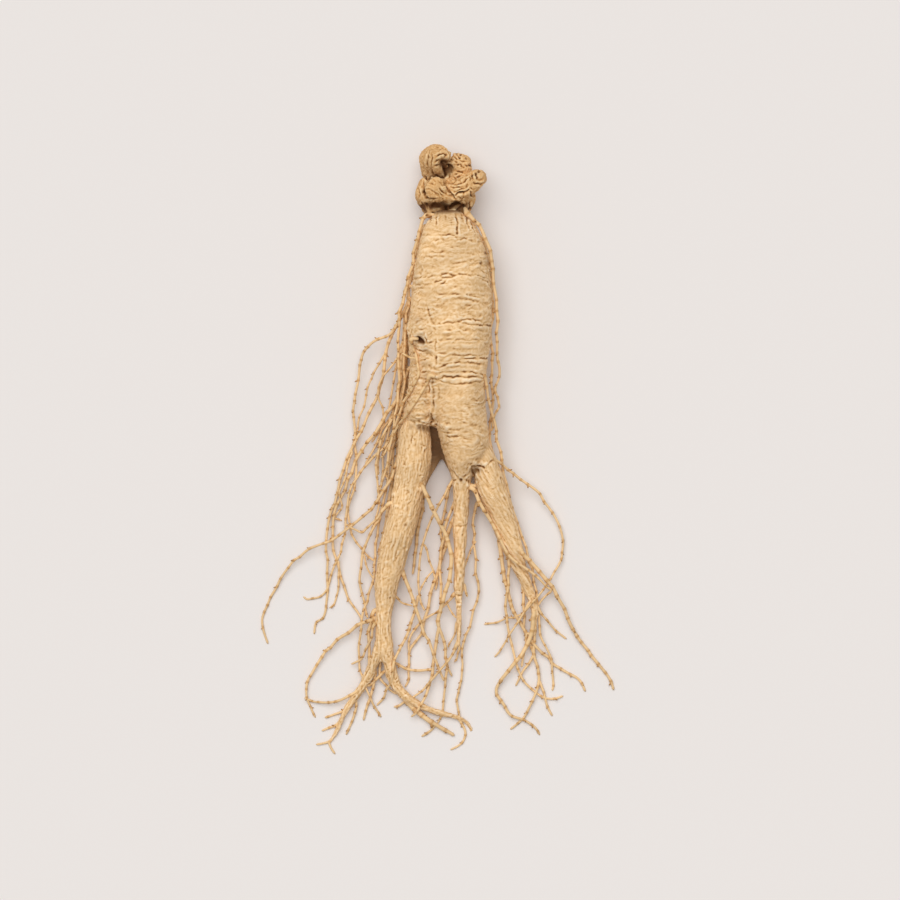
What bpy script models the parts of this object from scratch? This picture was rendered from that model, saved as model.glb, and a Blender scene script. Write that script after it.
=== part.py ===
"""Dried ginseng root lying on a table, modelled as the one piece that it grew as.

The head, a knobbly rhizome, points along +Y. The legs and the rootlets fan out towards -Y, and +Z is up.
Every table is in millimetres, and a length becomes metres only where a mesh is made.
"""

import math

import bmesh
import bpy
import numpy as np

MM = 0.001

# The root measures about 196 mm from the rhizome's tip to the lowest rootlet and 114 mm across its
# rootlets.
TRUNK_SIDES = 20
LEG_SIDES = 12
KNOB_SIDES = 9
TOE_SIDES = 6
ROOTLET_SIDES = 4

# A crease reaches this far to each side of its middle, and fades out over this length past its ends.
CREASE_HALF_WIDTH = 0.9
CREASE_FADE = 2.5
# Rings of the limb's own table that stand closer to a crease than this many half widths give way to it.
CREASE_CLEARANCE = 1.5
# A rootlet starts this far inside what it grows from, unless its first point is within SUNK_ALREADY of
# the middle.
ROOT_SUNK = 3.0
SUNK_ALREADY = 0.5
# Routes are read off at this step, and a ring stays where a straight run would stray from them by the
# tolerance.
ROUTE_STEP = 1.0
ROUTE_TOLERANCE = 0.4
LONGEST_RING_GAP = 14.0
TOE_FROM_RADIUS = 1.2
# A tube of few flat sides has its corners this much further out, so that its width on average is the
# real one.
ROOTLET_CORNERS_OUT = 1.15
TOE_CORNERS_OUT = 1.05
# How a knob's ends round off: how far past the middle line's end and how wide, as shares of its radius
# there.
ROUND_START = [(0.85, 0.5), (0.45, 0.86)]
DOME_END = [(0.45, 0.86), (0.78, 0.6), (0.95, 0.28)]
SCAR_BOWL_END = [(0.42, 0.85), (0.66, 0.62), (0.5, 0.42), (0.05, 0.3)]
KNOB_CLEAR_OF_TABLE = 0.3
KNOB_SEAM_TOWARDS = (1.0, 0.2, 0.1)

SKIN_COLOUR = (0.73, 0.45, 0.2, 1.0)
SKIN_ROUGHNESS = 0.75
SHARP_FROM_DEGREES = 50

# Each limb's cross sections, from its top down: y, left edge x, right edge x, thickness, height of the
# underside.
# An underside below 0 is pressed flat on the table.
LIMBS = {
    "trunk": [
        (76.5, 0.5, 6.5, 6, 8), (75, -1.5, 8.5, 10, 6), (73, -3.2, 10.8, 14, 4.2),
        (70, -5, 13.2, 17.5, 2.6),
        (66, -6, 14.9, 19.5, 1.2), (60, -7.4, 16.3, 21.3, 0), (55, -8, 16.9, 23.2, -1.2),
        (50, -8.4, 17.2, 23.7, -1.2), (45, -8.6, 17.4, 24, -1.2), (40, -9.2, 17.2, 24.2, -1.2),
        (35, -9.4, 16.9, 23.8, -1.2), (30, -9, 16, 23.2, -1.2), (25, -8.6, 15.4, 22.7, -1.2),
        (22, -8.4, 15.2, 20.8, 0), (19, -6.5, 12, 17.4, 2), (15, -5, 8, 15, 3),
        (11, -4, 3.5, 12.5, 3.5), (8.5, -3, 1.5, 8, 5), (7.4, -2.2, 0.4, 4, 7),
    ],
    "middle_leg": [
        (34, 0, 14, 16, 3), (28, -1.6, 15, 20, 0.6), (22, -1.7, 15, 20.6, 0.1),
        (16, -1.6, 15.2, 20.6, 0.1),
        (11, -1.1, 15.6, 20, 0.4), (6, 0.2, 16, 18.8, 0.9), (2, 1.1, 16.4, 17.5, 1.2),
        (-2, 2.1, 15.5, 15.5, 1.8),
        (-5, 3.1, 12.6, 12.6, 2.8), (-7.5, 4.1, 10.9, 9.6, 4), (-9.5, 4.8, 10.5, 7.4, 4.8),
        (-14, 5, 10.1, 5.6, 5.2),
        (-20, 5, 9.8, 4.9, 5), (-27, 5, 9.2, 4.4, 4.6), (-34, 5.1, 8.8, 3.9, 4.2),
        (-41, 5.1, 8.5, 3.5, 3.8),
        (-46.5, 5.2, 8.1, 3.1, 3.4), (-48, 5.6, 7.7, 2.3, 3.4), (-54, 5.8, 7.6, 1.9, 2.8),
        (-60, 5.9, 7.5, 1.7, 2.2),
        (-63, 6, 7.1, 1.1, 2),
    ],
    "left_thigh": [
        (31, -8.6, -1.8, 14, 3), (26, -9, -1.4, 17, 1.8), (20, -9.6, -1.3, 17.8, 1.2),
        (15, -10.3, -1.3, 17, 1.4),
        (11.5, -10.9, -1.4, 15.2, 2), (9.3, -10.6, -1.8, 12.6, 3), (8, -9.4, -3, 9, 4.6),
    ],
    "left_leg": [
        (16, -10, -3.5, 8, 5), (10, -11.4, -2.8, 10, 3.6), (6.5, -12.2, -2.6, 11, 2.8),
        (2, -12.7, -2.2, 11.2, 2.4),
        (-3, -13, -2.1, 11.2, 2), (-8, -13.7, -3.1, 10.8, 1.8), (-12, -14.3, -4.2, 10.4, 1.7),
        (-16, -15, -5.1, 10.2, 1.5), (-20, -15.8, -5.8, 10, 1.4), (-25, -17, -7.1, 9.8, 1.2),
        (-30, -18.2, -8.6, 9.5, 1.1),
        (-35, -19.2, -10.1, 9, 1), (-40, -20, -11.6, 8.2, 1), (-44, -20.3, -12.8, 7.4, 1.1),
        (-48, -20.2, -13.9, 6.2, 1.3),
        (-51, -20, -14.7, 5.2, 1.6), (-55, -20, -15.2, 4.8, 1.6), (-59, -20, -14.9, 5, 1.4),
        (-63, -20.2, -14.3, 5, 1.2),
        (-66, -19.6, -14.4, 4.4, 1.2), (-68, -18.5, -15, 3.2, 1.6),
    ],
    "right_leg": [
        (6, 10, 15, 7, 5), (1, 10.6, 17, 10, 3.6), (-2.5, 11.6, 18.8, 10.4, 3.2),
        (-5.5, 11.4, 20, 10.4, 2.9),
        (-9, 11.3, 21.2, 10.2, 2.6), (-12.5, 12, 22.2, 9.8, 2.3), (-16, 13.4, 23.2, 9.2, 2),
        (-20, 15.4, 24.2, 8.4, 1.7),
        (-24, 17.2, 25.4, 7.6, 1.5), (-28, 18.8, 26.6, 6.9, 1.4), (-32, 20.4, 27.5, 6.2, 1.3),
        (-36, 22.8, 28, 5, 1.3),
        (-40, 25, 29.2, 4.1, 1.4), (-44, 27, 30.6, 3.5, 1.5), (-48, 28.8, 31.8, 3, 1.6),
        (-52, 29.9, 32.2, 2.3, 1.8),
        (-56, 30.2, 31.9, 1.7, 2), (-60, 29.8, 31.1, 1.3, 2),
    ],
}

# The trunk's growth creases: y, depth, and the x where each begins and ends.
CREASES = [
    (68.5, 0.35, -3, 13), (61, 0.3, -6, 8), (55.3, 0.8, -6, 17), (49.4, 0.4, -1, 17), (41, 0.7, 2, 17.5),
    (35, 0.4, 1, 15), (30, 0.9, 4, 16), (27, 0.6, 0, 14), (23.2, 1.1, 0, 15),
]

# The rhizome's knobs and the trunk's branch scar: the points of the middle line, its radii, and whether
# the end is an open stem scar.
KNOBS = {
    "neck": ([(4, 72, 9.5), (3, 76, 9), (2.5, 82, 9)], [4.4, 4.2, 4.6], False),
    "left_back_knob": ([(-2.6, 77.6, 8), (-3.4, 80.6, 8.5), (-2.9, 84.4, 8.5)], [3.3, 4, 3.6], False),
    "left_front_knob": ([(2.2, 81, 10), (0.2, 82.6, 12.5), (-0.8, 84.2, 13.5)], [3.8, 4.5, 3.8], False),
    "right_base_knob": ([(7.4, 77.8, 8), (8.2, 80, 9.5), (8.2, 82.6, 10)], [3.5, 4.1, 3.6], False),
    "right_horn": ([(2.5, 83, 10), (6, 82.8, 12.5), (9.5, 84.6, 13.5), (12.9, 87, 13)],
        [3, 3.8, 3.5, 2.9], True),
    "top_filler": ([(2, 83, 8), (2.3, 87, 8), (2.2, 90.5, 8)], [4, 4.4, 4], False),
    "top_left_knob": ([(-2.2, 89, 6), (-1.8, 92.8, 10), (0.5, 92.6, 14)], [4, 5.2, 4.4], True),
    "top_right_knob": ([(5.2, 85, 8), (6.6, 89, 9), (6.8, 91.5, 9.5)], [3.6, 4.2, 3.9], False),
    "branch_scar": ([(-5, 43, 15), (-5.8, 38.8, 16.8), (-6.3, 35.4, 16.4)], [3, 4.4, 3.3], True),
}

# Each rootlet: what it grows from, its radius at the root and at the tip, and the points that it runs
# through.
# A height of 0 lays it on the table.
ROOTLETS = {
    "neck_left": ("trunk", 0.6, 0.45, [
        (-3.6, 75.2, 11), (-5.6, 70, 11.5), (-7.6, 62.5, 11.5), (-9.4, 55, 11), (-10.6, 49.5, 10.5),
        (-12.2, 44.5, 10), (-12.6, 38, 9.5), (-12.6, 31, 9), (-12.5, 23, 8.5), (-13, 15.5, 8),
        (-13.9, 9, 7.5),
        (-15, 3, 7), (-16.2, -3, 6), (-17.3, -8, 5), (-18.6, -12.5, 4), (-19.2, -17, 3)]),
    "left_elbow": ("trunk", 0.55, 0.4, [
        (-9.8, 52, 9.5), (-11.3, 46, 9), (-12.9, 41, 8), (-15, 37.7, 7), (-18, 36, 6), (-21, 34.6, 5),
        (-23.3, 32.6, 4.4), (-24.7, 30, 4), (-25.2, 26, 3.6), (-25.9, 21.5, 3.2), (-26.8, 16.5, 2.8),
        (-27, 11, 2.6),
        (-26.9, 6, 2.4), (-26.9, 1.5, 2.2), (-26.3, -3, 2), (-26.2, -8, 2), (-27, -12.5, 2.2),
        (-28.3, -17, 2.2),
        (-28.8, -21, 2), (-28.4, -24.8, 2.5), (-27, -28.3, 2.5), (-24.6, -32, 2.2), (-22.3, -34.3, 2),
        (-20.2, -35.8, 2)]),
    "left_outer": ("trunk", 0.65, 0.4, [
        (-9.5, 48, 8), (-11.5, 43, 7), (-14.2, 38, 6.2), (-16, 34, 5.4), (-17.1, 30.5, 5),
        (-17.4, 26.5, 4.6),
        (-17.8, 22.7, 4.2), (-19.2, 18.8, 3.8), (-20.5, 15, 3.5), (-22.5, 11.2, 3.2), (-24.2, 7.5, 3),
        (-26, 4, 3.2),
        (-28.2, 0.3, 2.8), (-29.8, -3, 2.2), (-30.9, -7.5, 1.8), (-32, -12, 1.6), (-33.3, -16.5, 1.5),
        (-34.8, -20.5, 1.5), (-35.6, -25, 2.2), (-35.8, -30, 2.4), (-35.7, -36, 1.5), (-35.5, -41, 1),
        (-35.5, -45, 0.8), (-35.8, -48.5, 0.5), (-36.2, -51.5, 0), (-37.4, -54.2, 0), (-39.2, -56, 0),
        (-39.9, -59.2, 0)]),
    "left_fine": ("left_outer", 0.4, 0.35, [
        (-17, 31, 5), (-18.6, 28, 4.4), (-20.3, 24.8, 3.8), (-21.8, 21.8, 3.4), (-22.8, 18, 3),
        (-23.7, 14.3, 2.6),
        (-25, 11, 2.3), (-25.8, 7.6, 2), (-26.2, 4.5, 1.6), (-27.3, 1, 1.2), (-28.7, -3, 1)]),
    "left_thick": ("trunk", 0.8, 0.4, [
        (-9.3, 46, 7), (-10.8, 39, 6), (-11.6, 31, 5.4), (-12, 23, 5), (-13.2, 17.5, 4.8),
        (-15.3, 13, 4.6),
        (-17.6, 9.5, 4.3), (-20, 6, 3.9), (-22.6, 2.4, 3.5), (-25, -0.8, 3), (-27, -4, 2.6),
        (-28.4, -8, 2.3),
        (-29.6, -12, 2), (-31.2, -15.5, 1.8), (-33, -19.3, 1.6), (-33.8, -23.5, 1.6), (-34, -28, 1.8),
        (-33.8, -32, 1.4), (-32.8, -35.5, 1.4), (-31.8, -39, 1.2), (-31, -42.5, 1), (-29.6, -46, 0.8),
        (-27.9, -49.3, 0.8), (-26, -52, 1), (-24.6, -54.3, 1.5)]),
    "scar_strand": ("branch_scar", 0.55, 0.4, [
        (-8.2, 35.4, 15.5), (-7.6, 32.5, 16.8), (-6.9, 29.5, 17.6), (-6.3, 26.5, 18.2),
        (-6.2, 24.3, 18.4),
        (-7.2, 21.8, 18), (-8.8, 19.2, 16.8), (-10.2, 17, 15), (-11.5, 13.5, 12.5), (-12.8, 10.5, 10),
        (-13.6, 8, 8),
        (-14.8, 4, 5.5), (-17, 1.3, 4.5), (-19.5, -1, 4), (-22, -3.8, 3.4), (-24, -6, 3), (-26, -9, 2.8),
        (-27.8, -11.5, 2.8), (-28.9, -14.5, 2.8), (-29.2, -18, 2.6), (-29.6, -22.5, 2.8),
        (-30.2, -26.5, 3),
        (-31.1, -30.5, 2.4), (-31.9, -34, 2.2), (-33.4, -37.5, 1.6), (-34.4, -40.5, 1),
        (-35.2, -43.5, 0.6)]),
    "left_inner_fork": ("scar_strand", 0.35, 0.35, [
        (-32, -36, 2), (-31.9, -40, 1.4), (-31.9, -43.5, 1), (-32.4, -46.5, 0.5), (-33.5, -49, 0),
        (-34.9, -50.8, 0)]),
    "left_outer_second": ("left_outer", 0.4, 0.35, [
        (-27.5, -1, 3.4), (-29.3, -6, 3), (-30.3, -10.5, 2.8), (-31.8, -14, 2.6), (-30.9, -18, 2.2),
        (-32.3, -20.3, 1.5), (-33.3, -22, 0.8), (-31, -22.7, 0.3)]),
    "left_twig": ("scar_strand", 0.4, 0.35, [
        (-35.6, -44.6, 0.8), (-36.8, -46.2, 0.5), (-38.4, -47.4, 0), (-40.2, -48, 0), (-42.2, -48.2, 0),
        (-43.3, -47.2, 0)]),
    "flank_low": ("trunk", 0.6, 0.4, [
        (-5, 71, 8), (-6.8, 64, 7.5), (-8.6, 56, 7), (-9.6, 48, 6), (-10.3, 40, 5), (-10.6, 32, 4),
        (-10.4, 24, 3.5),
        (-10.8, 17, 3.2), (-12.3, 11, 3.2), (-13.9, 5, 3), (-15, -1, 3), (-15.9, -6, 3.2),
        (-16.3, -11, 3.4),
        (-17.3, -16, 3), (-18.6, -21, 2.6), (-19.7, -26, 2.4), (-20.2, -31, 2.2), (-20.5, -36, 2.2),
        (-20.9, -41, 2.6), (-22, -45.5, 3), (-23.2, -50, 2.6), (-24.2, -54.5, 3.2), (-24.9, -59, 2.6),
        (-25.5, -63.5, 2), (-25.3, -68, 1.6), (-24.5, -72.5, 1.6), (-23.3, -76, 2.6), (-21.9, -79.7, 2),
        (-20.3, -83, 0.8), (-18.4, -86, 0)]),
    "flank_middle": ("trunk", 0.55, 0.4, [
        (-7.8, 60, 9), (-9, 52, 8.4), (-10, 44, 8), (-10.9, 36, 7.4), (-10.8, 28, 6.8), (-10.9, 21, 6.4),
        (-12.2, 15, 6), (-14.5, 10, 5.8), (-17, 6, 5.4), (-18.7, 2, 5), (-19.5, -3, 4.6),
        (-19.8, -8, 4.4),
        (-19.4, -12, 4.2), (-19, -16, 4), (-19.4, -20, 3.6), (-20.3, -24, 3.2), (-21.6, -27.5, 3)]),
    "left_cross": ("flank_middle", 0.4, 0.35, [
        (-11.2, 31.5, 6.2), (-13.4, 28.6, 5.8), (-15.6, 26, 5.6), (-17.4, 23.4, 5.4), (-19, 20, 5),
        (-19.2, 16.5, 4.4),
        (-18.2, 13.5, 3.8), (-17.4, 10.5, 3), (-18.3, 6, 2.4), (-19, 2, 2)]),
    "left_cross_inner": ("flank_low", 0.45, 0.35, [
        (-11.8, 34, 4.6), (-13.4, 27, 4.2), (-14.4, 21.5, 3.6), (-15.1, 16, 3), (-16.6, 11, 2.2),
        (-18.9, 6.5, 2.2),
        (-21.3, 2.5, 1.6)]),
    "seam_strand": ("trunk", 0.6, 0.4, [
        (-2.4, 23.6, 18), (-3.3, 21.2, 19), (-5.2, 18.5, 18.6), (-7.2, 15.5, 17), (-9.5, 12.2, 14.5),
        (-11.3, 10, 12.5), (-12.8, 8, 10), (-14.2, 5.5, 7.5), (-15.6, 2, 6), (-17, -0.8, 5.2),
        (-18.4, -2.5, 4.8)]),
    "scar_curl": ("scar_strand", 0.35, 0.35, [
        (-7.6, 29.2, 17.6), (-9, 29.2, 17), (-10.3, 29.8, 17), (-11.4, 30.9, 17.3)]),
    "left_knot_twig": ("flank_low", 0.35, 0.35, [
        (-17, -7.5, 4.6), (-16.2, -10, 4.4), (-17.4, -12.8, 4), (-18.8, -14.8, 4)]),
    "left_sweep": ("left_leg", 0.6, 0.4, [
        (-12.8, -4.5, 5.5), (-14.8, -9, 5), (-16.8, -12.5, 4.8), (-18.8, -15.6, 4.5), (-21, -18.3, 4.2),
        (-23.6, -20.7, 4), (-26.6, -23.4, 4), (-29.6, -25.7, 4.2), (-32.6, -27.8, 3.8),
        (-35.8, -29.4, 3.6),
        (-39, -30.8, 3.2), (-42.6, -32.8, 2.6), (-45.8, -35.4, 2), (-48.6, -38.4, 1.5), (-51, -42, 1),
        (-53, -45.8, 0.6), (-54.8, -49.4, 0.3), (-56.2, -52.6, 0), (-56.7, -55, 0), (-56.2, -58.2, 0),
        (-54.8, -62.3, 0)]),
    "left_leg_hook": ("left_leg", 0.6, 0.35, [
        (-15.4, -17, 8.5), (-17.3, -18.8, 7.5), (-19.2, -21.4, 6), (-21.4, -23.4, 5), (-23.2, -25, 4.4),
        (-24.8, -26.4, 4), (-26.4, -25.8, 4.2), (-28.2, -25, 4.6), (-29.6, -23.8, 4.8)]),
    "left_leg_long": ("left_leg", 0.6, 0.4, [
        (-15.6, -17.3, 7.5), (-17.6, -20, 6.2), (-19.4, -23, 5.2), (-21, -26.2, 4.4), (-22.4, -29.4, 4),
        (-23.7, -33, 3.8), (-24.6, -36.8, 3.2), (-25.1, -40.5, 2.6), (-24.9, -44, 2.2), (-24.2, -47.5, 2),
        (-23.4, -51, 2), (-22.6, -54, 2.4)]),
    "left_leg_short": ("left_leg_long", 0.35, 0.35, [
        (-23.7, -34, 3.6), (-22.8, -37.6, 3), (-21.6, -40, 2.6), (-20.6, -41.6, 3)]),
    "left_loop": ("left_leg", 0.75, 0.35, [
        (-19, -54, 3), (-22, -54.9, 3.2), (-25, -56.2, 3), (-28, -58.2, 2.6), (-31, -60.2, 2.2),
        (-33.8, -62.6, 2),
        (-36.4, -65.4, 1.8), (-38.5, -68.4, 1.5), (-40.2, -71.3, 1.2), (-41.7, -74, 1), (-42.5, -77, 0.9),
        (-42.2, -80.2, 0.8), (-41.2, -82.8, 0.3), (-40.2, -84.8, 0), (-39.5, -86.1, 0)]),
    "left_toe": ("left_leg", 1.9, 0.55, [
        (-18.6, -62, 3.5), (-20.2, -67, 3.4), (-22, -71.5, 3.2), (-24, -75.6, 2.8), (-26.4, -79, 2.4),
        (-28.7, -82.2, 1.8), (-30.5, -85.4, 1.3), (-31.8, -88.6, 0.9), (-33, -91.3, 0.6),
        (-34.3, -93.2, 0.4),
        (-35.4, -94.3, 0.3)]),
    "left_toe_loop": ("left_toe", 0.6, 0.35, [
        (-23.8, -75.6, 3), (-26, -77.4, 3), (-28.6, -79, 2.4), (-31.6, -80.4, 1.8), (-34.6, -81.1, 1.3),
        (-37.6, -81.3, 1), (-40.2, -81, 0.8), (-42.2, -80.1, 0.8), (-43, -79.7, 0.8)]),
    "left_toe_tip_outer": ("left_toe", 0.45, 0.4, [(-35.2, -94, 0.4), (-37.2, -94.5, 0.2),
        (-39.2, -94.8, 0)]),
    "left_toe_tip_inner": ("left_toe", 0.45, 0.4, [
        (-35.2, -94, 0.4), (-34.6, -95.6, 0.2), (-33.9, -96.8, 0), (-33.2, -97.8, 0)]),
    "left_toe_third": ("left_toe", 0.5, 0.4, [
        (-28.9, -82.7, 1.6), (-31.2, -84, 1), (-33.6, -85, 0.4), (-36.4, -86.1, 0)]),
    "left_toe_fourth": ("left_toe", 0.5, 0.4, [
        (-30.8, -86.2, 1.2), (-33, -88.2, 0.6), (-35.2, -89.4, 0.2), (-37.4, -90.4, 0)]),
    "left_toe_fifth": ("left_toe", 0.5, 0.4, [
        (-26.4, -79.4, 2), (-26.5, -82.6, 1.2), (-27.2, -85.8, 0.6), (-28.3, -88.6, 0.2),
        (-29.6, -91.6, 0)]),
    "left_toe_inner": ("left_toe", 0.6, 0.45, [
        (-20.4, -70.5, 2.4), (-21, -75, 1.8), (-22, -79.5, 1.2), (-23.2, -83.4, 0.5), (-24, -87, 0)]),
    "toe_bridge": ("right_toe", 0.55, 0.5, [
        (-16.6, -70.6, 2.4), (-19, -72.8, 2.2), (-21.4, -74.7, 2), (-23.6, -76, 2.4)]),
    "toe_hook": ("right_toe", 0.5, 0.4, [
        (-18.7, -68, 2.2), (-18.6, -72.8, 1.6), (-17.2, -75.8, 1.2), (-15.2, -77.6, 1),
        (-13.2, -78.5, 1.2)]),
    "ankle_twig": ("left_leg", 0.5, 0.4, [
        (-20.4, -55.5, 5), (-21.8, -60, 4.4), (-23.3, -64, 3.6), (-24.8, -67.2, 2.8), (-26.4, -68.2, 2),
        (-27.9, -68.9, 1.6)]),
    "ankle_strand": ("left_leg", 0.65, 0.55, [
        (-20.4, -52, 3.5), (-21.8, -57, 3.2), (-22.2, -62, 3), (-22, -67, 3), (-22.4, -71, 3)]),
    "right_toe": ("left_leg", 2.2, 0.45, [
        (-17, -62, 3.6), (-15.9, -67, 3.4), (-15, -71.5, 3.1), (-13.6, -75.2, 2.8), (-11.4, -78.2, 2.5),
        (-8.6, -80.6, 2.2), (-5.2, -82.5, 1.9), (-1.6, -83.9, 1.6), (2, -84.9, 1.3), (5, -85.6, 1),
        (7.4, -86.6, 0.8),
        (9.2, -87.6, 0.5), (10.1, -89, 0.2), (10.8, -90.6, 0)]),
    "toe_curl": ("right_toe", 0.5, 0.35, [
        (6, -86, 0.9), (7.6, -87.6, 0.7), (8.5, -89.6, 0.4), (8.7, -91.5, 0.2), (8, -93.6, 0),
        (6.4, -95.2, 0),
        (4, -96.5, 0)]),
    "blunt_toe": ("right_toe", 1.4, 0.65, [
        (-14.3, -73.8, 2.6), (-12.9, -77, 2.1), (-10.8, -79.8, 1.8), (-8.4, -82.6, 1.5),
        (-5.8, -85, 1.3), (-2.8, -87.2, 1.1),
        (0.4, -88.9, 0.9), (3.2, -90.4, 0.7), (5.2, -91.9, 0.5)]),
    "blunt_toe_twig": ("blunt_toe", 0.5, 0.4, [
        (-0.9, -88.4, 0.9), (-2.2, -90.2, 0.5), (-3.7, -91.3, 0.2), (-5.3, -92.2, 0)]),
    "blunt_toe_spur": ("blunt_toe", 0.5, 0.4, [(-10.2, -80.4, 1.4), (-12.2, -81.8, 0.8),
        (-14.2, -82.7, 0.4)]),
    "front_strand": ("left_leg", 0.8, 0.75, [
        (-5.2, -11.4, 10.5), (-4.1, -13.8, 11.5), (-2.6, -17, 11.5), (-0.9, -20.6, 11), (0.8, -24, 10.4),
        (2.3, -27.6, 9.8), (3.5, -31.2, 9.2), (4.3, -35, 8.6), (4.2, -39, 7.8), (3.2, -43.2, 6.8),
        (2, -47.4, 5.8),
        (1, -51.4, 4.8), (0.4, -55, 4), (0.3, -57.2, 3.6)]),
    "front_left_fork": ("front_strand", 0.65, 0.45, [
        (0.3, -57, 3.6), (-0.5, -60.2, 3.2), (-0.9, -63.5, 2.8), (-1.3, -67.3, 2.6), (-1.7, -71, 2.4),
        (-2.4, -74.2, 2.2), (-3.4, -77.4, 2.6), (-4.6, -80, 3.2), (-5.9, -82.4, 3.5), (-7.1, -84.4, 2.6),
        (-8.6, -85.8, 1.6)]),
    "front_right_fork": ("front_strand", 0.6, 0.35, [
        (0.3, -57, 3.6), (1.2, -59.8, 3.2), (1.9, -62.5, 2.8), (2.4, -66, 2.6), (2.8, -69.5, 2.2),
        (2.4, -73.5, 2),
        (2.1, -77.5, 1.8), (1.9, -81, 1.2), (1.3, -84, 0.6), (0.6, -86.2, 0.5), (-0.2, -88, 0.6)]),
    "crossing_strand": ("middle_leg", 0.5, 0.4, [
        (5.2, -8.6, 8), (3.6, -11.6, 7.8), (1.6, -15.3, 7.2), (-0.2, -18.8, 6.6), (-2, -22.4, 6),
        (-3.6, -26.2, 5.4),
        (-4.9, -30, 4.8), (-5.8, -34, 4.2), (-6.3, -38.4, 3.6), (-6.5, -42.5, 3.2), (-6.2, -46.2, 2.8),
        (-5.3, -49.4, 2.4), (-4.3, -51.6, 2.4)]),
    "middle_left": ("crossing_strand", 0.6, 0.4, [
        (-6.3, -46.8, 2.8), (-7, -49.4, 2.6), (-7.9, -53, 2.4), (-9.1, -57, 2.6), (-10.6, -60.2, 3),
        (-12.2, -63.4, 3.8), (-13.5, -66.8, 5), (-14.4, -69.8, 5.7), (-15, -72.8, 5.2), (-16.1, -76, 3),
        (-17.5, -79.4, 1.4), (-19.7, -82.2, 0.2)]),
    "left_leg_front": ("left_leg", 0.75, 0.45, [
        (-11.6, -39, 5.5), (-10.4, -41.8, 5.5), (-9, -45.2, 5.2), (-7.7, -49, 5), (-6.6, -52.6, 4.8),
        (-5.5, -56, 4.4),
        (-4.1, -59.5, 4), (-2.8, -62.6, 3.8), (-1.5, -65.8, 4), (-0.2, -69, 3.6), (0.9, -71.8, 3),
        (1.9, -74.2, 2.4)]),
    "middle_back": ("middle_leg", 0.6, 0.5, [
        (6, -16, 6), (4.6, -19, 5.4), (3, -23, 4.6), (1.8, -27, 4), (1, -31, 3.4), (0.6, -35, 3),
        (0.6, -39, 2.8),
        (0.9, -43, 2.8), (1, -47, 3), (0.9, -50, 3.4)]),
    "middle_back_long": ("middle_leg", 0.8, 0.4, [
        (5.6, -20.5, 5), (3.6, -25.5, 3.4), (2.2, -31, 2.4), (0.6, -36.5, 1.8), (-0.9, -41.5, 1.6),
        (-2.3, -46.2, 1.5),
        (-3.4, -50.6, 1.5), (-4.4, -54.8, 1.4), (-5.4, -58.6, 1.2), (-7.2, -61.6, 1), (-8.9, -64.2, 0.9),
        (-9.5, -67.6, 0.8), (-9.8, -71.3, 0.6), (-9.6, -74.2, 0.3), (-10.6, -76.3, 0)]),
    "middle_fine": ("crossing_strand", 0.4, 0.4, [
        (-4.3, -30.6, 4.2), (-3.5, -32.4, 3.6), (-2.7, -35.4, 3), (-1.8, -38.6, 2.4), (-0.9, -41.6, 2)]),
    "middle_fine_fork": ("middle_fine", 0.35, 0.35, [
        (-1.6, -38.9, 2.4), (-3.2, -40.6, 2.4), (-4.8, -43.2, 2.6), (-6, -45.8, 2.8)]),
    "middle_low": ("middle_back_long", 0.5, 0.4, [
        (-4.9, -55, 1.8), (-7, -57, 1.8), (-8.7, -59.6, 2), (-9.3, -62.2, 1.6), (-9.4, -65, 1.2)]),
    "middle_bridge": ("middle_leg", 0.5, 0.4, [
        (5.4, -46, 4.5), (3.8, -48.3, 3.2), (2, -50.2, 2.6), (0, -51.8, 2.2), (-2.2, -53, 1.9),
        (-4.2, -54.3, 1.7)]),
    "toe_cross": ("right_toe", 0.55, 0.45, [
        (-14.6, -68.4, 2.6), (-12, -69.6, 2.2), (-9, -70.5, 1.9), (-6, -70.9, 1.7), (-3.4, -70.8, 1.8),
        (-1.2, -70.4, 2.2)]),
    "long_cross": ("middle_leg", 0.5, 0.4, [
        (6.4, -61, 2.8), (5.2, -64.6, 2.6), (3.4, -67.3, 3.8), (1, -69.7, 4.4), (-0.6, -71.8, 3.8),
        (-2.2, -74.2, 3.6),
        (-4.2, -76.4, 2.6), (-6.2, -78, 2.2), (-8.2, -79.6, 2.4)]),
    "right_middle_long": ("right_leg", 0.5, 0.4, [
        (12.6, -17, 4), (11.6, -21.5, 3.5), (11.6, -27, 3), (11.9, -32, 2.6), (12.2, -37, 2.2),
        (12.6, -41.5, 2),
        (12.7, -45.5, 1.8), (12, -49.6, 1.8), (11, -53.6, 1.8), (9.9, -57.2, 2), (8.8, -60, 2.2),
        (7.9, -62.8, 2.2),
        (7.6, -66, 1.8), (7.8, -69, 1.5), (7.4, -72.3, 1.2), (6.7, -75.8, 1), (6.4, -79.8, 0.8),
        (6.7, -84, 0.8),
        (7, -86.4, 0.8)]),
    "middle_spur": ("middle_leg", 0.4, 0.4, [(8.2, -43, 5), (8.8, -45.5, 4.4), (9.4, -47.2, 4)]),
    "middle_end_fork": ("middle_leg", 0.35, 0.35, [
        (5.9, -55.5, 3), (5.2, -59.6, 2.2), (4.2, -62, 1.6), (3.2, -63.5, 1.2)]),
    "bridge_fork": ("middle_bridge", 0.35, 0.35, [(2.8, -49.2, 2.8), (4.2, -51.6, 2.8), (5.8, -54, 3)]),
    "cross_fork": ("long_cross", 0.4, 0.4, [(3, -67.6, 3), (3.2, -70, 2), (3.8, -71.3, 1.4),
        (4.5, -72.8, 1)]),
    "right_link": ("right_middle_long", 0.35, 0.35, [
        (12, -29.5, 2.8), (10.4, -32, 2.6), (9.4, -35, 2.6), (8.6, -37.5, 3)]),
    "left_leg_twig": ("left_leg", 0.35, 0.35, [
        (-13.2, -47, 3.5), (-11.8, -48.8, 2.8), (-10.3, -49.8, 2.2), (-8.3, -50.1, 2.2)]),
    "middle_end_twig": ("middle_leg", 0.35, 0.35, [
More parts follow.
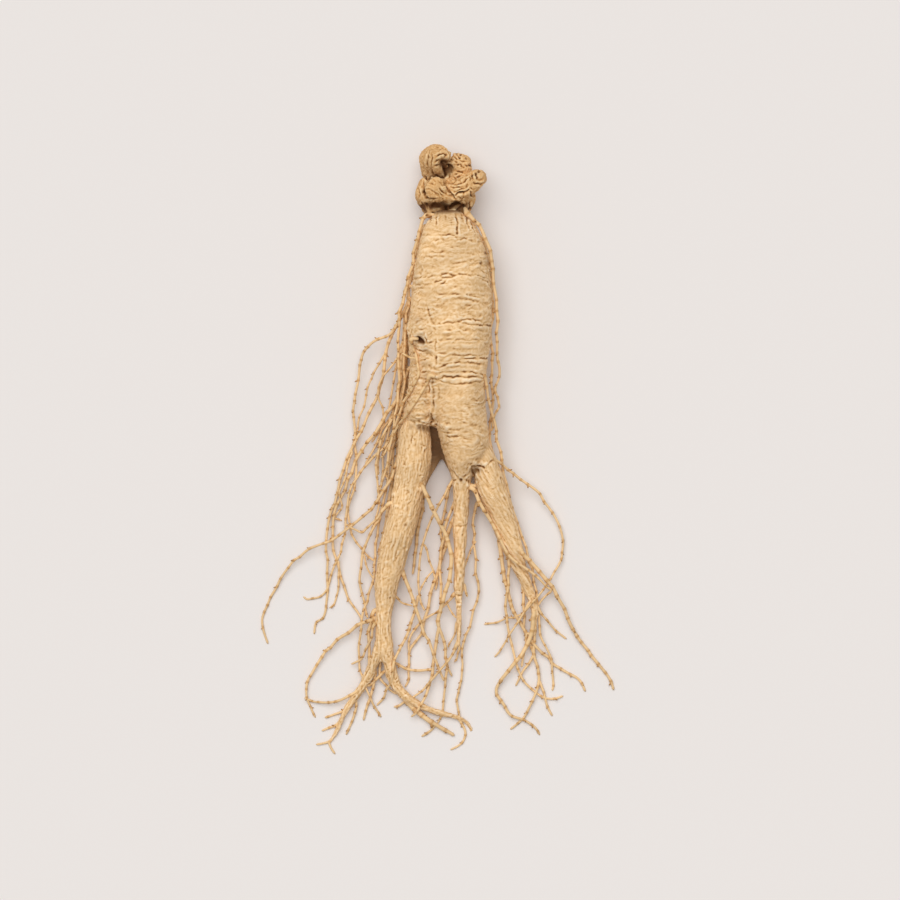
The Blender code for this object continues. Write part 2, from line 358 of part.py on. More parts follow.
        (6.5, -61, 2.6), (6.9, -63.8, 2), (6.2, -66, 1.4), (5.2, -68.2, 1)]),
    "neck_right": ("right_base_knob", 0.75, 0.4, [
        (9.2, 75.8, 13), (11, 74.2, 13.5), (13, 71.4, 13.2), (14.9, 68, 12.8), (16.3, 64, 12.4),
        (17.2, 59, 12),
        (17.8, 53, 11.5), (18.4, 47, 11), (18.8, 41, 10.2), (18.8, 35, 9.4), (18.9, 30, 8.6),
        (19.6, 26, 8),
        (19.3, 22.4, 7.4), (18.6, 19.6, 7), (18.9, 16.8, 6.8), (19.3, 13.9, 6.6), (18.6, 11.6, 6.4),
        (17.7, 9, 6.2),
        (16.9, 6, 6.2)]),
    "shoulder_right": ("middle_leg", 0.55, 0.4, [
        (14.4, 23.8, 14), (15.3, 20.4, 13), (16, 16.6, 12), (16.8, 12.8, 11), (18, 9.4, 10),
        (18.8, 5.4, 9),
        (19.6, 1, 8), (20.5, -3.6, 7), (21.2, -8, 6.2), (22.2, -12, 5.6), (23.1, -15.8, 5),
        (24, -19, 4.6),
        (25.6, -22.8, 4.2), (27, -26.8, 3.8), (28.3, -31, 3.4), (29.3, -35, 3), (30.4, -39.4, 2.8),
        (31.4, -43.8, 2.6), (32, -48.4, 2.6), (32.2, -53, 2.4), (32.8, -57.5, 2.2), (33.8, -61.5, 2),
        (35.2, -65, 1.8),
        (36.2, -68.5, 1.4), (36.7, -72, 0.8), (36.9, -75, 0.3), (36.8, -77.4, 0)]),
    "flank_right": ("trunk", 0.6, 0.45, [
        (10.4, 73.6, 10), (13, 69.8, 9.5), (15.4, 64.6, 9), (16.8, 57, 8.6), (17.5, 50, 8.2),
        (17.8, 43.5, 8),
        (17.4, 37, 7.6), (17.4, 31, 7.2), (17.3, 26, 6.8), (17, 22, 6.4), (17.6, 18.6, 5.6),
        (17.6, 15, 5),
        (17.1, 11, 4.8), (16.7, 6.5, 5), (17, 2, 5.4), (17.9, -1.6, 6), (18.8, -4.2, 6.4)]),
    "right_sweep": ("right_leg", 0.55, 0.35, [
        (14, -3.2, 12.5), (16.4, -2.7, 12.6), (18.4, -3.4, 11), (20.4, -4.9, 8.5), (23, -6.8, 6.5),
        (26.2, -8.9, 5.2),
        (29.4, -11, 4.2), (32.2, -13.4, 3.4), (34.4, -16.2, 2.8), (36.4, -19.4, 2.3), (38.2, -22.6, 1.9),
        (39.5, -26, 1.6), (40.2, -29.8, 1.4), (40, -33.6, 1.4), (38.8, -37.4, 1.8), (36.8, -40.6, 2.6),
        (34.8, -43.4, 3.2), (32.6, -46.2, 4.4), (30.2, -48.8, 5.4), (27.4, -51.4, 3.8),
        (24.6, -53.3, 2.6),
        (21.6, -54.7, 1.6), (18.6, -55.6, 0.8), (14.9, -56.1, 0.2)]),
    "right_front": ("right_leg", 0.75, 0.4, [
        (10.2, -12, 9), (11.4, -13.2, 9.6), (12.8, -15.6, 9.8), (14.4, -18.6, 9.4), (16.2, -21.8, 8.4),
        (18, -25, 7.5), (19.8, -28.2, 7.4), (21.4, -31.2, 7.4), (23.2, -33.9, 7.4), (25.6, -36, 7.4),
        (28.2, -38, 6.6),
        (30.6, -40, 5.8), (33, -42.2, 5), (35, -44.2, 4.2), (36.2, -45.4, 3.6), (34.8, -46.8, 3),
        (33.2, -48.4, 2.8),
        (32.2, -50, 2.8)]),
    "right_outer": ("right_leg", 0.8, 0.5, [
        (25.8, -31.6, 6.5), (27.4, -34.2, 5.8), (29.8, -36.6, 5.2), (32.4, -39, 4.6), (35, -41.6, 4),
        (37.4, -44.6, 3.4), (39, -48, 2.9), (40.4, -51.4, 2.4), (42, -55, 2), (43.8, -58.2, 1.6),
        (45.8, -61.5, 1.3),
        (48, -64.5, 1), (50.2, -67.3, 0.8), (52.3, -69.8, 0.5), (54.3, -72.3, 0.2), (55.7, -74.7, 0),
        (56.5, -77.2, 0)]),
    "right_inner": ("right_leg", 0.8, 0.45, [
        (19.8, -29, 4.5), (20.3, -34, 4), (21.1, -39, 3.6), (22, -43.6, 3.2), (23.2, -48, 2.8),
        (24.8, -52.4, 2.6),
        (26.8, -56.4, 2.4), (29, -59.8, 2), (31.6, -62.8, 2.2), (34.2, -65.4, 1.2), (36.8, -68.2, 1),
        (39.6, -70.3, 0.8), (42.4, -71.9, 0.6), (44.9, -73.4, 0.3), (46.4, -75.2, 0.1),
        (47.4, -77.7, 0)]),
    "right_low": ("right_leg", 0.55, 0.4, [
        (22.6, -34.5, 5.5), (22.8, -39, 4.6), (22.5, -44, 4), (22, -48, 3.4), (21.8, -51.8, 3),
        (22.3, -55.6, 3),
        (23.1, -59.4, 2.8), (24, -63, 2.4), (25, -67, 2), (26, -71, 1.6), (27.6, -74.4, 1.2),
        (29.8, -77, 0.9),
        (32.4, -79, 0.8), (35, -80.2, 0.6), (37.6, -80.3, 0.2), (40.2, -79.2, 0)]),
    "right_end": ("right_leg", 0.9, 0.4, [
        (31, -52, 3.6), (30.6, -56, 3.6), (29.6, -60, 3.4), (28, -63.6, 3.2), (26, -66.6, 3),
        (23.8, -69.4, 2.6),
        (21.8, -72, 2.2), (20, -74.6, 1.8), (19.1, -77.2, 1.5), (19.8, -80, 1.2), (21.4, -82.6, 1),
        (23, -84.8, 0.9),
        (25.6, -86.3, 1.2), (28.4, -87.5, 0.8), (30.8, -89, 0.4), (32.7, -91.7, 0)]),
    "right_end_outer": ("right_leg", 0.65, 0.4, [
        (31.2, -55, 2.6), (31, -59.5, 2), (30.8, -63.6, 1.6), (31.2, -67, 1.4), (32.2, -70.4, 1.3),
        (32.6, -73.8, 1.2),
        (31.8, -77.2, 1.6), (30.6, -80.4, 1.4), (29.2, -83.4, 1.2), (27.8, -86.2, 0.6),
        (25.8, -88.2, 0.3),
        (23.3, -89.9, 0)]),
    "right_end_twig": ("right_end_outer", 0.5, 0.4, [
        (32.7, -74.4, 1), (33.4, -77.4, 0.8), (34.4, -80.6, 0.5), (35.5, -83.2, 0.3), (36.8, -85.6, 0)]),
    "right_end_inner": ("right_end_outer", 0.5, 0.4, [
        (30.9, -65.6, 1.6), (29.2, -68.4, 1.4), (27.4, -71, 1.4), (26.2, -73.6, 1), (25, -75.9, 0.3)]),
    "right_end_side": ("right_end", 0.45, 0.4, [
        (28.6, -59, 3), (28.2, -62.8, 1.8), (27.4, -66.4, 1.6), (26.9, -69.8, 1.4)]),
    "right_side_twig": ("right_leg", 0.45, 0.35, [
        (31.4, -49.6, 3.2), (33.6, -52.8, 2.4), (36.2, -55.9, 1.6), (38.8, -58.5, 0.8),
        (41.3, -60.8, 0.1)]),
    "right_inner_twig": ("right_leg", 0.45, 0.35, [
        (29.4, -49, 4), (27.4, -52.6, 4.4), (25.2, -56.2, 4.2), (22.9, -60, 3.9), (21.2, -62.8, 2),
        (19.8, -65, 1),
        (18.2, -66.6, 0.2)]),
    "right_link_low": ("right_leg", 0.6, 0.45, [
        (27.2, -43.5, 2.6), (27.5, -49, 2.2), (27.4, -54, 1.8), (28, -58.6, 1.6), (29.6, -62, 1.5),
        (30.6, -65.4, 1.5)]),
}


def clear_scene():
    for old in list(bpy.data.objects):
        bpy.data.objects.remove(old, do_unlink=True)


def unit(vectors):
    """The vectors at length 1."""
    return vectors / np.linalg.norm(vectors, axis=-1, keepdims=True)


def smooth_route(points):
    """A curve through the points, a cubic between each two of them, read off about every millimetre."""
    points = np.array(points, float)
    padded = np.vstack([2 * points[0] - points[1], points, 2 * points[-1] - points[-2]])
    stretches = []
    for before, start, end, after in zip(padded, padded[1:], padded[2:], padded[3:]):
        steps = max(2, round(float(np.linalg.norm(end - start)) / ROUTE_STEP))
        t = np.linspace(0, 1, steps, endpoint=False)[:, None]
        linear = (end - before) * t
        square = (2 * before - 5 * start + 4 * end - after) * t**2
        cube = (3 * start - before - 3 * end + after) * t**3
        stretches.append(0.5 * (2 * start + linear + square + cube))
    return np.vstack(stretches + [points[-1:]])


def thinned(route):
    """The places along the route that a coarse tube needs: its bends, and one every few millimetres."""
    def needed(first, last):
        chord = route[last] - route[first]
        length = float(np.linalg.norm(chord))
        if last - first < 2:
            return []
        inner = route[first + 1:last] - route[first]
        off = inner - np.outer(inner @ chord, chord) / length**2
        away = np.linalg.norm(off, axis=1)
        if away.max() < ROUTE_TOLERANCE and length < LONGEST_RING_GAP:
            return []
        bends = away.max() >= ROUTE_TOLERANCE
        split = first + 1 + (int(away.argmax()) if bends else (last - first) // 2 - 1)
        return needed(first, split) + [split] + needed(split, last)
    return [0] + needed(0, len(route) - 1) + [len(route) - 1]


def tube_rings(route, radii, sides):
    """A ring of corners round each point of the route, square to it, with one corner straight down."""
    along = unit(np.gradient(route, axis=0))
    across = unit(np.cross(along, (0, 0, 1)))
    up = np.cross(across, along)
    turn = 2 * math.pi * np.arange(sides) / sides
    return (route[:, None] + radii[:, None, None] * (
        across[:, None] * np.sin(turn)[:, None] - up[:, None] * np.cos(turn)[:, None]))


def closed_solid(name, rings):
    """A closed mesh through rings of corners, each end closed to its middle."""
    rings = np.asarray(rings)
    count, sides, _ = rings.shape
    points = np.vstack([rings.reshape(-1, 3), rings[0].mean(axis=0), rings[-1].mean(axis=0)]) * MM
    last = (count - 1) * sides
    faces = []
    for side in range(sides):
        after = (side + 1) % sides
        for ring in range(0, last, sides):
            faces.append((ring + side, ring + after, ring + sides + after, ring + sides + side))
        faces.append((after, side, count * sides))
        faces.append((last + side, last + after, count * sides + 1))
    mesh = bpy.data.meshes.new(name)
    mesh.from_pydata(points.tolist(), [], faces)
    outward = bmesh.new()
    outward.from_mesh(mesh)
    bmesh.ops.recalc_face_normals(outward, faces=outward.faces)
    outward.to_mesh(mesh)
    outward.free()
    return bpy.data.objects.new(name, mesh)


def limb_rings(sections, sides, creases=()):
    """Level ellipses down a limb. A crease is a ring drawn in by its depth between two that are not."""
    table = np.array(sections, float)[::-1]
    shoulders = [y + side * CREASE_HALF_WIDTH for y, *_ in creases for side in (-1, 0, 1)]
    near_crease = [any(abs(y - crease[0]) < CREASE_CLEARANCE * CREASE_HALF_WIDTH for crease in creases)
                   for y in table[:, 0]]
    levels = np.sort(np.concatenate([table[~np.array(near_crease), 0], shoulders]))[::-1]
    left, right, thick, under = (np.interp(levels, table[:, 0], column) for column in table.T[1:])
    turn = 2 * math.pi * (np.arange(sides) + 0.5) / sides
    x = (left + right)[:, None] / 2 + (right - left)[:, None] / 2 * np.sin(turn)
    z = (under + thick / 2)[:, None] - (thick / 2)[:, None] * np.cos(turn) / math.cos(math.pi / sides)
    for y, depth, start, end in creases:
        ring = int(np.abs(levels - y).argmin())
        middle = np.array([(left[ring] + right[ring]) / 2, under[ring] + thick[ring] / 2])
        held = np.clip(1 - np.maximum(start - x[ring], x[ring] - end) / CREASE_FADE, 0, 1)
        inward = unit(middle - np.stack([x[ring], z[ring]], axis=1)) * (depth * held)[:, None]
        x[ring] += inward[:, 0]
        z[ring] += inward[:, 1]
    y = np.broadcast_to(levels[:, None], x.shape)
    return np.stack([x, y, np.maximum(z, 0)], axis=2)


def knob_rings(points, radii, open_scar):
    """A fat short tube with a round start and, at its end, a dome or the bowl that a fallen stem left."""
    route = smooth_route(points)[::2]
    reach = np.linspace(0, 1, len(route))
    radius = np.interp(reach, np.linspace(0, 1, len(radii)), radii)
    tip = unit(route[-1] - route[-2])
    root = unit(route[0] - route[1])
    profile = SCAR_BOWL_END if open_scar else DOME_END
    centres = np.vstack([route[0] + root * radius[0] * out for out, _ in ROUND_START] + [route]
                        + [route[-1] + tip * radius[-1] * out for out, _ in profile])
    sizes = np.concatenate([[radius[0] * share for _, share in ROUND_START], radius,
                            [radius[-1] * share for _, share in profile]])
    side = unit(np.cross(tip, KNOB_SEAM_TOWARDS))
    along = unit(np.vstack([np.tile(-root, (len(ROUND_START), 1)), np.gradient(route, axis=0),
                            np.tile(tip, (len(profile), 1))]))
    across = unit(side - (along @ side)[:, None] * along)
    up = np.cross(across, along)
    turn = 2 * math.pi * np.arange(KNOB_SIDES) / KNOB_SIDES
    rings = centres[:, None] + sizes[:, None, None] * (
        across[:, None] * np.sin(turn)[:, None] + up[:, None] * np.cos(turn)[:, None])
    return np.maximum(rings, (-np.inf, -np.inf, KNOB_CLEAR_OF_TABLE))


def rootlet(points, start_radius, end_radius, axis):
    """The route and the rings of a rootlet whose root is sunk in the limb that it grows from."""
    first = np.array(points[0], float)
    inward = axis[np.linalg.norm(axis - first, axis=1).argmin()] - first
    depth = float(np.linalg.norm(inward))
    sunk = first + inward * min(1.0, ROOT_SUNK / max(depth, 1e-6))
    if depth > SUNK_ALREADY:
        points = [sunk] + list(points)
    route = smooth_route(points)
    sides = TOE_SIDES if start_radius > TOE_FROM_RADIUS else ROOTLET_SIDES
    radii = np.interp(np.arange(len(route)), (0, len(route) - 1), (start_radius, end_radius))
    radii = radii * (ROOTLET_CORNERS_OUT if sides == ROOTLET_SIDES else TOE_CORNERS_OUT)
    route[:, 2] = np.maximum(route[:, 2], radii)
    kept = thinned(route)
    return route, tube_rings(route[kept], radii[kept], sides)


def skin_material():
    skin = bpy.data.materials.new("root_skin")
    skin.use_nodes = True
    surface = skin.node_tree.nodes["Principled BSDF"]
    surface.inputs["Base Color"].default_value = SKIN_COLOUR
    surface.inputs["Roughness"].default_value = SKIN_ROUGHNESS
    surface.inputs["Metallic"].default_value = 0.0
    return skin


def grown_parts():
    """Every limb, knob and rootlet as an object of its own, the trunk first."""
    axes = {}
    made = []
    for name, sections in LIMBS.items():
        table = np.array(sections, float)
        levels = np.arange(table[-1, 0], table[0, 0], ROUTE_STEP)
        rising = table[::-1]
        left, right, thick, under = (np.interp(levels, rising[:, 0], column) for column in rising.T[1:])
        axes[name] = np.stack([(left + right) / 2, levels, under + thick / 2], axis=1)
        is_trunk = name == "trunk"
        rings = limb_rings(sections, TRUNK_SIDES if is_trunk else LEG_SIDES, CREASES if is_trunk else ())
        made.append(closed_solid(name, rings))
    for name, (points, radii, open_scar) in KNOBS.items():
        axes[name] = smooth_route(points)
        made.append(closed_solid(name, knob_rings(points, radii, open_scar)))
    waiting = dict(ROOTLETS)
    while waiting:
        ready = [name for name, (parent, *_) in waiting.items() if parent in axes]
        for name in ready:
            parent, start_radius, end_radius, points = waiting.pop(name)
            axes[name], rings = rootlet(points, start_radius, end_radius, axes[parent])
            made.append(closed_solid(name, rings))
    return made


def grow_together(parts, name):
    """One closed body: the first part with all the others joined to it."""
    base, others = parts[0], parts[1:]
    group = bpy.data.collections.new("grown_on")
    bpy.context.scene.collection.children.link(group)
    bpy.context.scene.collection.objects.link(base)
    for other in others:
        group.objects.link(other)
    join = base.modifiers.new("join", "BOOLEAN")
    join.operation = "UNION"
    # The exact solver leaves six open edges in this body, and this one leaves none.
    join.solver = "MANIFOLD"
    join.operand_type = "COLLECTION"
    join.collection = group
    bpy.context.view_layer.objects.active = base
    base.select_set(True)
    bpy.ops.object.modifier_apply(modifier=join.name)
    for other in others:
        bpy.data.objects.remove(other, do_unlink=True)
    bpy.data.collections.remove(group)
    base.name = name
    base.data.name = name
    return base


def main():
    clear_scene()
    root = grow_together(grown_parts(), "ginseng_root")
    root.data.shade_smooth()
    root.data.set_sharp_from_angle(angle=math.radians(SHARP_FROM_DEGREES))
    root.data.materials.clear()
    root.data.materials.append(skin_material())


main()
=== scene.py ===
# %% [markdown]
# # A dried ginseng root, dressed over its solid
#
# The solid of this root is one coarse body: a ringed trunk, three legs, a knobbly rhizome and a fan of
# rootlets. This lesson puts the real skin on it. Everything is measured in millimetres, in the frame of
# the solid: +Y runs to the head, +X to the right as seen from above, and the table is at Z = 0. A length
# becomes metres only where a mesh is written.

import itertools
import math

import bpy
import numpy as np
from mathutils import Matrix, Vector


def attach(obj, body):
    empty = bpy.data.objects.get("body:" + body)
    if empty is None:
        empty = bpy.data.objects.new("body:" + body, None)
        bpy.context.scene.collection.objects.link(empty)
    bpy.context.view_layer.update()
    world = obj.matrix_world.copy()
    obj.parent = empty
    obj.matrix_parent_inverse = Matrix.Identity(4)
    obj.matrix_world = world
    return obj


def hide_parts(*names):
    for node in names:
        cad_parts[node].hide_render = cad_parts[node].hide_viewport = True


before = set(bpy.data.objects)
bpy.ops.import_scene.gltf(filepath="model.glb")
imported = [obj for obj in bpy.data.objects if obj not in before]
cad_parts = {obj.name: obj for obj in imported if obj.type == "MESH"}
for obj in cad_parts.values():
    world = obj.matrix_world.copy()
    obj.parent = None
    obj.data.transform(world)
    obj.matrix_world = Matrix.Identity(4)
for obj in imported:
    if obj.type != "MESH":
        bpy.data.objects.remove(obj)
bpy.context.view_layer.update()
MM = 0.001

# %% [markdown]
# ## The shapes of the body
#
# A root has no straight edge to measure from, so each limb is given as level cross sections, read at the
# places where its outline turns. They are the sections that the solid was lofted through, so that the
# skin stays on it. Only the top left knob differs, half a millimetre further right and slimmer than the
# solid's. The knobs of the rhizome are short fat tubes with domed ends. The scars of fallen stems are
# pressed into them later, with the creases.

# %% Sections of the limbs, and the knobs
# Each limb's cross sections, from its top down: y, left edge x, right edge x, thickness, height of the
# underside. An underside below 0 is pressed flat on the table.
LIMBS = {
    "trunk": [
        (76.5, 0.5, 6.5, 6, 8), (75, -1.5, 8.5, 10, 6), (73, -3.2, 10.8, 14, 4.2),
        (70, -5, 13.2, 17.5, 2.6), (66, -6, 14.9, 19.5, 1.2), (60, -7.4, 16.3, 21.3, 0),
        (55, -8, 16.9, 23.2, -1.2), (50, -8.4, 17.2, 23.7, -1.2), (45, -8.6, 17.4, 24, -1.2),
        (40, -9.2, 17.2, 24.2, -1.2), (35, -9.4, 16.9, 23.8, -1.2), (30, -9, 16, 23.2, -1.2),
        (25, -8.6, 15.4, 22.7, -1.2), (22, -8.4, 15.2, 20.8, 0), (19, -6.5, 12, 17.4, 2),
        (15, -5, 8, 15, 3), (11, -4, 3.5, 12.5, 3.5), (8.5, -3, 1.5, 8, 5), (7.4, -2.2, 0.4, 4, 7),
    ],
    "middle_leg": [
        (34, 0, 14, 16, 3), (28, -1.6, 15, 20, 0.6), (22, -1.7, 15, 20.6, 0.1),
        (16, -1.6, 15.2, 20.6, 0.1), (11, -1.1, 15.6, 20, 0.4), (6, 0.2, 16, 18.8, 0.9),
        (2, 1.1, 16.4, 17.5, 1.2), (-2, 2.1, 15.5, 15.5, 1.8), (-5, 3.1, 12.6, 12.6, 2.8),
        (-7.5, 4.1, 10.9, 9.6, 4), (-9.5, 4.8, 10.5, 7.4, 4.8), (-14, 5, 10.1, 5.6, 5.2),
        (-20, 5, 9.8, 4.9, 5), (-27, 5, 9.2, 4.4, 4.6), (-34, 5.1, 8.8, 3.9, 4.2),
        (-41, 5.1, 8.5, 3.5, 3.8), (-46.5, 5.2, 8.1, 3.1, 3.4), (-48, 5.6, 7.7, 2.3, 3.4),
        (-54, 5.8, 7.6, 1.9, 2.8), (-60, 5.9, 7.5, 1.7, 2.2), (-63, 6, 7.1, 1.1, 2),
    ],
    "left_thigh": [
        (31, -8.6, -1.8, 14, 3), (26, -9, -1.4, 17, 1.8), (20, -9.6, -1.3, 17.8, 1.2),
        (15, -10.3, -1.3, 17, 1.4), (11.5, -10.9, -1.4, 15.2, 2), (9.3, -10.6, -1.8, 12.6, 3),
        (8, -9.4, -3, 9, 4.6),
    ],
    "left_leg": [
        (16, -10, -3.5, 8, 5), (10, -11.4, -2.8, 10, 3.6), (6.5, -12.2, -2.6, 11, 2.8),
        (2, -12.7, -2.2, 11.2, 2.4), (-3, -13, -2.1, 11.2, 2), (-8, -13.7, -3.1, 10.8, 1.8),
        (-12, -14.3, -4.2, 10.4, 1.7), (-16, -15, -5.1, 10.2, 1.5), (-20, -15.8, -5.8, 10, 1.4),
        (-25, -17, -7.1, 9.8, 1.2), (-30, -18.2, -8.6, 9.5, 1.1), (-35, -19.2, -10.1, 9, 1),
        (-40, -20, -11.6, 8.2, 1), (-44, -20.3, -12.8, 7.4, 1.1), (-48, -20.2, -13.9, 6.2, 1.3),
        (-51, -20, -14.7, 5.2, 1.6), (-55, -20, -15.2, 4.8, 1.6), (-59, -20, -14.9, 5, 1.4),
        (-63, -20.2, -14.3, 5, 1.2), (-66, -19.6, -14.4, 4.4, 1.2), (-68, -18.5, -15, 3.2, 1.6),
    ],
    "right_leg": [
        (6, 10, 15, 7, 5), (1, 10.6, 17, 10, 3.6), (-2.5, 11.6, 18.8, 10.4, 3.2),
        (-5.5, 11.4, 20, 10.4, 2.9), (-9, 11.3, 21.2, 10.2, 2.6), (-12.5, 12, 22.2, 9.8, 2.3),
        (-16, 13.4, 23.2, 9.2, 2), (-20, 15.4, 24.2, 8.4, 1.7), (-24, 17.2, 25.4, 7.6, 1.5),
        (-28, 18.8, 26.6, 6.9, 1.4), (-32, 20.4, 27.5, 6.2, 1.3), (-36, 22.8, 28, 5, 1.3),
        (-40, 25, 29.2, 4.1, 1.4), (-44, 27, 30.6, 3.5, 1.5), (-48, 28.8, 31.8, 3, 1.6),
        (-52, 29.9, 32.2, 2.3, 1.8), (-56, 30.2, 31.9, 1.7, 2), (-60, 29.8, 31.1, 1.3, 2),
    ],
}

# The rhizome's knobs and the trunk's branch scar: the points of the middle line, and its radii.
KNOBS = {
    "neck": ([(4, 72, 9.5), (3, 76, 9), (2.5, 82, 9)], [4.4, 4.2, 4.6]),
    "left_back_knob": ([(-2.6, 77.6, 8), (-3.4, 80.6, 8.5), (-2.9, 84.4, 8.5)], [3.3, 4, 3.6]),
    "left_front_knob": ([(2.2, 81, 10), (0.2, 82.6, 12.5), (-0.8, 84.2, 13.5)], [3.8, 4.5, 3.8]),
    "right_base_knob": ([(7.4, 77.8, 8), (8.2, 80, 9.5), (8.2, 82.6, 10)], [3.5, 4.1, 3.6]),
    "right_horn": ([(2.5, 83, 10), (6, 82.8, 12.5), (9.5, 84.6, 13.5), (12.9, 87, 13)], [3, 3.8, 3.5, 2.9]),
    "top_filler": ([(2, 83, 8), (2.3, 87, 8), (2.2, 90.5, 8)], [4, 4.4, 4]),
    "top_left_knob": ([(-1.6, 89, 6), (-1.1, 92.8, 10), (0.6, 92.6, 14)], [3.8, 4.9, 4.3]),
    "top_right_knob": ([(5.2, 85, 8), (6.6, 89, 9), (6.8, 91.5, 9.5)], [3.6, 4.2, 3.9]),
    "branch_scar": ([(-5, 43, 15), (-5.8, 38.8, 16.8), (-6.3, 35.4, 16.4)], [3, 4.4, 3.3]),
}
print("limbs:", len(LIMBS), "knobs:", len(KNOBS))

# %% [markdown]
# ## Where the rootlets run
#
# Each rootlet is a route: the points that it passes through, from where it leaves the body to its tip.
# They are the solid's routes, except that the strand below the branch scar lies a little nearer to the
# real one.

